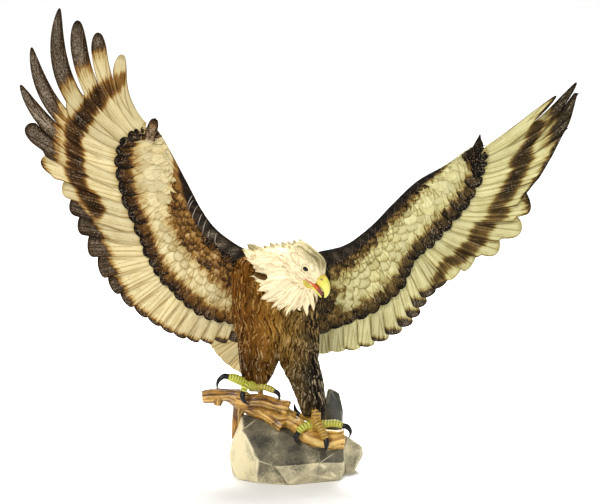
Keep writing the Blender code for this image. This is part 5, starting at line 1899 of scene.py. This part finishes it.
def branch_tubes():
    """One mesh of the branch's pieces; and along them all the middles, the distances from the
    pieces' starts, and two directions across."""
    whole, tubes = bmesh.new(), []
    for number, path in enumerate(BRANCHES.values(), 1):
        centre, radius, spoke, run = tube_rings(path, 40, 32)
        size = (radius * (0.98 + 0.06 * ripple(centre, 11.0, number)))[:, None, None]
        mesh = plain_mesh(*rings_mesh(centre[:, None] + spoke * size))
        whole.from_mesh(mesh)
        bpy.data.meshes.remove(mesh)
        tubes.append((centre, run, spoke[:, 0], spoke[:, 8]))
    bmesh.ops.recalc_face_normals(whole, faces=whole.faces)
    mesh = bpy.data.meshes.new("branch")
    whole.to_mesh(mesh)
    whole.free()
    return mesh, *(np.concatenate(part) for part in zip(*tubes))


def build_branches(finish):
    """Gnarled branch, fused where its pieces meet, with carved grain and chopped ends."""
    mesh, line, run, first, second = branch_tubes()
    mesh = evaluated(mesh, ("REMESH", {"mode": "VOXEL", "voxel_size": BRANCH_VOXEL * MM}),
                     ("SMOOTH", {"factor": 0.5, "iterations": 6}))
    points, normals = mesh_points(mesh), mesh_normals(mesh)
    tree = point_tree(line)
    own = np.array([tree.find(point)[1] for point in points])
    out = points - line[own]
    turn = np.arctan2(np.sum(out * second[own], 1), np.sum(out * first[own], 1))
    warp = ripple(points, 8.0, 2.0)
    lumps = ripple(points, 4.5, 4.0)
    furrow = (1 - np.abs(np.sin(turn * 2.5 + 1.6 * warp + 0.03 * run[own]))) ** 4
    move = 0.35 * lumps - 0.65 * furrow + 0.25 * warp
    set_points(mesh, points + normals * move[:, None])
    mesh.shade_smooth()
    set_marks(mesh, {"dark": np.clip(furrow + 0.25 * smooth(0, -1, lumps), 0, 1),
                     "tone": 0.5 + 0.5 * lumps, "edge": 0.0, "groove": turn * 7 + 1.5 * warp})
    mesh.materials.append(finish)
    mesh.name = "branch_form"
    piece = add_piece("branch_form", mesh)
    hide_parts("branch_main", "branch_stub", "branch_stem", "branch_log")


# Paint of the rock's facets seen from the front: (x, z) on the facet and how dark it is; the dark is
# airbrushed grey and partly painted shade, darker under the branch and on the right, away from the light
ROCK_TONES = ((-44, 28, 0.0), (-38, 10, 0.05), (-24, 10, 0.6), (-6, 16, 0.25), (0, 8, 0.22),
              (-20, 35, 0.66), (0, 30, 0.72), (20, 30, 0.85), (30, 12, 0.25), (38, 22, 0.85))
FACET_ANGLE = 0.02              # faces that meet at less, in radians, are one facet
RIDGE_ANGLE = 0.3               # radians between facets whose edge is brushed pale
STONE_EDGE = 2.2                # no edge of a stone's mesh stays longer
STONE_SHARP = math.radians(35)  # edges sharper than this stay sharp in the shading
DARK_RIDGE = 0.7                # added to the distance from a ridge between two dark facets


def ridge_distance(points, start, end, added):
    """Distance of the points from the ridge between start and end, and what is added to it."""
    step = end - start
    t = np.clip((points - start) @ step / (step @ step), 0, 1)
    return np.linalg.norm(points - start - t[:, None] * step, axis=1) + added


def stone_ridges(shape, tones):
    """The sharp edges between facets: both ends, and what is added to the distance from them."""
    ridges = []
    for edge in shape.edges:
        sides = [tones[face.index] for face in edge.link_faces]
        if len(sides) == 2 and edge.calc_face_angle() > RIDGE_ANGLE:
            added = 0.0 if min(sides) < 0.5 else DARK_RIDGE
            ridges.append([*(np.array(vert.co) / MM for vert in edge.verts), added])
    return ridges


def cut_fine(shape):
    """Triangles with short edges."""
    bmesh.ops.triangulate(shape, faces=shape.faces)
    for _ in range(5):
        long = [edge for edge in shape.edges if edge.calc_length() > STONE_EDGE * MM]
        if not long:
            break
        bmesh.ops.subdivide_edges(shape, edges=long, cuts=1)
        bmesh.ops.triangulate(shape, faces=shape.faces)


def stone_mesh(name, shape, bevel):
    """Mesh of a block with its edges softened, in small triangles."""
    bmesh.ops.bevel(shape, geom=list(shape.edges), offset=bevel * MM, segments=2, profile=0.6,
                    affect="EDGES", clamp_overlap=True)
    cut_fine(shape)
    shape.normal_update()
    mesh = bpy.data.meshes.new(name)
    shape.to_mesh(mesh)
    shape.free()
    mesh.validate()
    return mesh


def build_stone(node, finish, tone_of, bevel, rough, swell=0.0):
    """Chiselled block with softened edges, painted facet by facet."""
    shape = node_shape(node)
    bmesh.ops.dissolve_limit(shape, angle_limit=FACET_ANGLE, verts=shape.verts, edges=shape.edges)
    for face in shape.faces:
        face.material_index = 0
    shape.faces.index_update()
    middles = np.array([face.calc_center_median() for face in shape.faces]) / MM
    facing = np.array([face.normal for face in shape.faces])
    tones = np.array([tone_of(middle, normal) for middle, normal in zip(middles, facing)])
    ridges = stone_ridges(shape, tones)
    mesh = stone_mesh(f"{node}_form", shape, bevel)
    points, normals = mesh_points(mesh), mesh_normals(mesh)
    away = np.abs(points @ facing.T - np.sum(facing * middles, 1))
    near = (away + 8 * (1 - normals @ facing.T)).argmin(1)
    ridge = np.min([ridge_distance(points, *ends) for ends in ridges], axis=0)
    points = points - normals * (rough * (0.5 + 0.5 * ripple(points, 4.0)) + 0.15)[:, None]
    points = points + normals * (swell * smooth(40, 55, points[:, 2]))[:, None]
    set_points(mesh, points)
    mesh.shade_smooth()
    mesh.set_sharp_from_angle(angle=STONE_SHARP)
    shade = tones[near] + 0.16 * ripple(points, 11.0, 1.0) + 0.10 * ripple(points, 5.0, 4.0)
    broken = smooth(-0.6, 0.3, ripple(points, 6.0, 2.0))
    set_marks(mesh, {"dark": np.clip(shade, 0, 1), "edge": smooth(1.5, 0.5, ridge) * broken})
    mesh.materials.append(finish)
    piece = add_piece(f"{node}_form", mesh)
    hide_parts(node)


def front_tone(middle, normal):
    """Tone of a facet of the main rock: as painted in front, and in turns dark and pale behind."""
    spots = np.array(ROCK_TONES)
    distance = np.hypot(spots[:, 0] - middle[0], spots[:, 1] - middle[2])
    if normal[1] < 0.2:
        return spots[distance.argmin(), 2]
    return 0.45 + 0.3 * math.sin(middle[0])


def build_rock(paints):
    """The main block, the lower one at its side, and the dark spire."""
    build_stone("rock_main", paints["rock"], front_tone, 0.7, 0.35)
    build_stone("rock_side", paints["rock"], lambda m, n: 0.28 + 0.1 * (m[2] > 25), 0.9, 0.3)
    build_stone("rock_spire", paints["spire"], lambda m, n: 0.8, 2.4, 0.3, 2.4)


# ---------------------------------------------------------------- stage, in metres

WALL = 2.5                      # y of the wall behind the statue
WALL_HEIGHT = 3.0
WALL_BEND = 0.8                 # radius between floor and wall
WORLD_LIGHT = 0.48
# Round lamps: name, place, size, power, colour
LIGHTS = (
    ("key", (-0.9, -1.5, 1.5), 0.7, 29.0, (1.0, 0.97, 0.92)),
    ("fill", (1.4, -1.3, 0.6), 1.2, 5.0, (0.95, 0.97, 1.0)),
    ("back", (0.4, 1.0, 1.9), 1.0, 24.0, (1.0, 1.0, 1.0)),
    ("wall", (0.0, 1.2, 1.6), 1.4, 66.0, (1.0, 1.0, 1.0)),
)
LIGHTS_AIM = (0, 0, 0.2)
CAMERA_DISTANCE = 1.6
CAMERA_RISE = 6.0               # degrees above the horizon
CAMERA_AIM = (0.0084, 0.0, 0.190)
VIEW_WIDTH = 0.504              # width in view at the aim
SENSOR = 36.0                   # width in mm


def build_floor():
    """Plain pale floor that bends up into a wall."""
    paint = Paint("floor")
    grain = paint.noise(40, 2)
    shade = paint.ramp(grain, ((0.0, (0.86, 0.86, 0.86)), (1.0, (0.92, 0.92, 0.92))))
    paint.finish(shade, 0.9, grain, 0.0001)
    bend = WALL - WALL_BEND
    profile = [(-4.0, 0.0), (bend, 0.0)]
    profile += [(bend + WALL_BEND * math.sin(a), WALL_BEND - WALL_BEND * math.cos(a))
                for a in np.linspace(0.1, math.pi / 2, 10)]
    profile.append((WALL, WALL_HEIGHT))
    points = [(x, y, z) for y, z in profile for x in (-6.0, 6.0)]
    quads = [(2 * k, 2 * k + 1, 2 * k + 3, 2 * k + 2) for k in range(len(profile) - 1)]
    mesh = bpy.data.meshes.new("floor")
    mesh.from_pydata(points, [], quads)
    mesh.shade_smooth()
    mesh.materials.append(paint.material)
    floor = bpy.data.objects.new("floor", mesh)
    bpy.context.scene.collection.objects.link(floor)


def build_lights():
    """Soft pale light from all sides, and four lamps."""
    world = bpy.data.worlds.new("studio")
    world.use_nodes = True
    background = world.node_tree.nodes["Background"]
    background.inputs[0].default_value = (1.0, 0.98, 0.95, 1.0)
    background.inputs[1].default_value = WORLD_LIGHT
    bpy.context.scene.world = world
    for name, place, size, power, colour in LIGHTS:
        light = bpy.data.lights.new(name, "AREA")
        light.shape = "DISK"
        light.size = size
        light.energy = power
        light.color = colour
        lamp = bpy.data.objects.new(name, light)
        lamp.location = place
        view = Vector(LIGHTS_AIM) - Vector(place)
        lamp.rotation_euler = view.to_track_quat("-Z", "Y").to_euler()
        bpy.context.scene.collection.objects.link(lamp)


def build_camera():
    """Camera in front of the statue and a little above it."""
    tilt = math.radians(CAMERA_RISE)
    data = bpy.data.cameras.new("camera")
    data.sensor_width = SENSOR
    data.lens = SENSOR * CAMERA_DISTANCE / VIEW_WIDTH
    camera = bpy.data.objects.new("camera", data)
    x, y, z = CAMERA_AIM
    camera.location = (x, y - CAMERA_DISTANCE * math.cos(tilt),
                       z + CAMERA_DISTANCE * math.sin(tilt))
    camera.rotation_euler = (math.pi / 2 - tilt, 0, 0)
    bpy.context.scene.collection.objects.link(camera)
    bpy.context.scene.camera = camera


# ---------------------------------------------------------------- the whole statue

def main():
    """Builds every sub-part in turn; chance is drawn in this order."""
    bpy.context.scene.view_settings.view_transform = "Standard"
    paints = {**wing_paints("r"), **wing_paints("l"), **coat_paints(), **face_paints(),
              **foot_paints(), **ground_paints()}
    wing_marks = []
    for label in WINGS:
        build_coverts(label, paints, wing_marks)
        build_flight_feathers(label, paints[f"wing_{label}"])
        build_wing_edge(label, paints[f"edge_{label}"])
        build_arm_strokes(label, paints[f"stroke_{label}"])
        build_alulas(label, paints[f"arm_{label}"])
    surface = build_skin(paints, wing_marks)
    build_body_coat(surface, paints["body"])
    build_head_coat(surface, paints["white"])
    build_ruff(surface, paints["white"])
    build_finger(surface, paints["body"])
    build_eyes(paints)
    build_bill(paints)
    build_tail(paints["wing_r"])
    build_feet(paints)
    build_branches(paints["branch"])
    build_rock(paints)
    build_floor()
    build_lights()
    build_camera()


main()
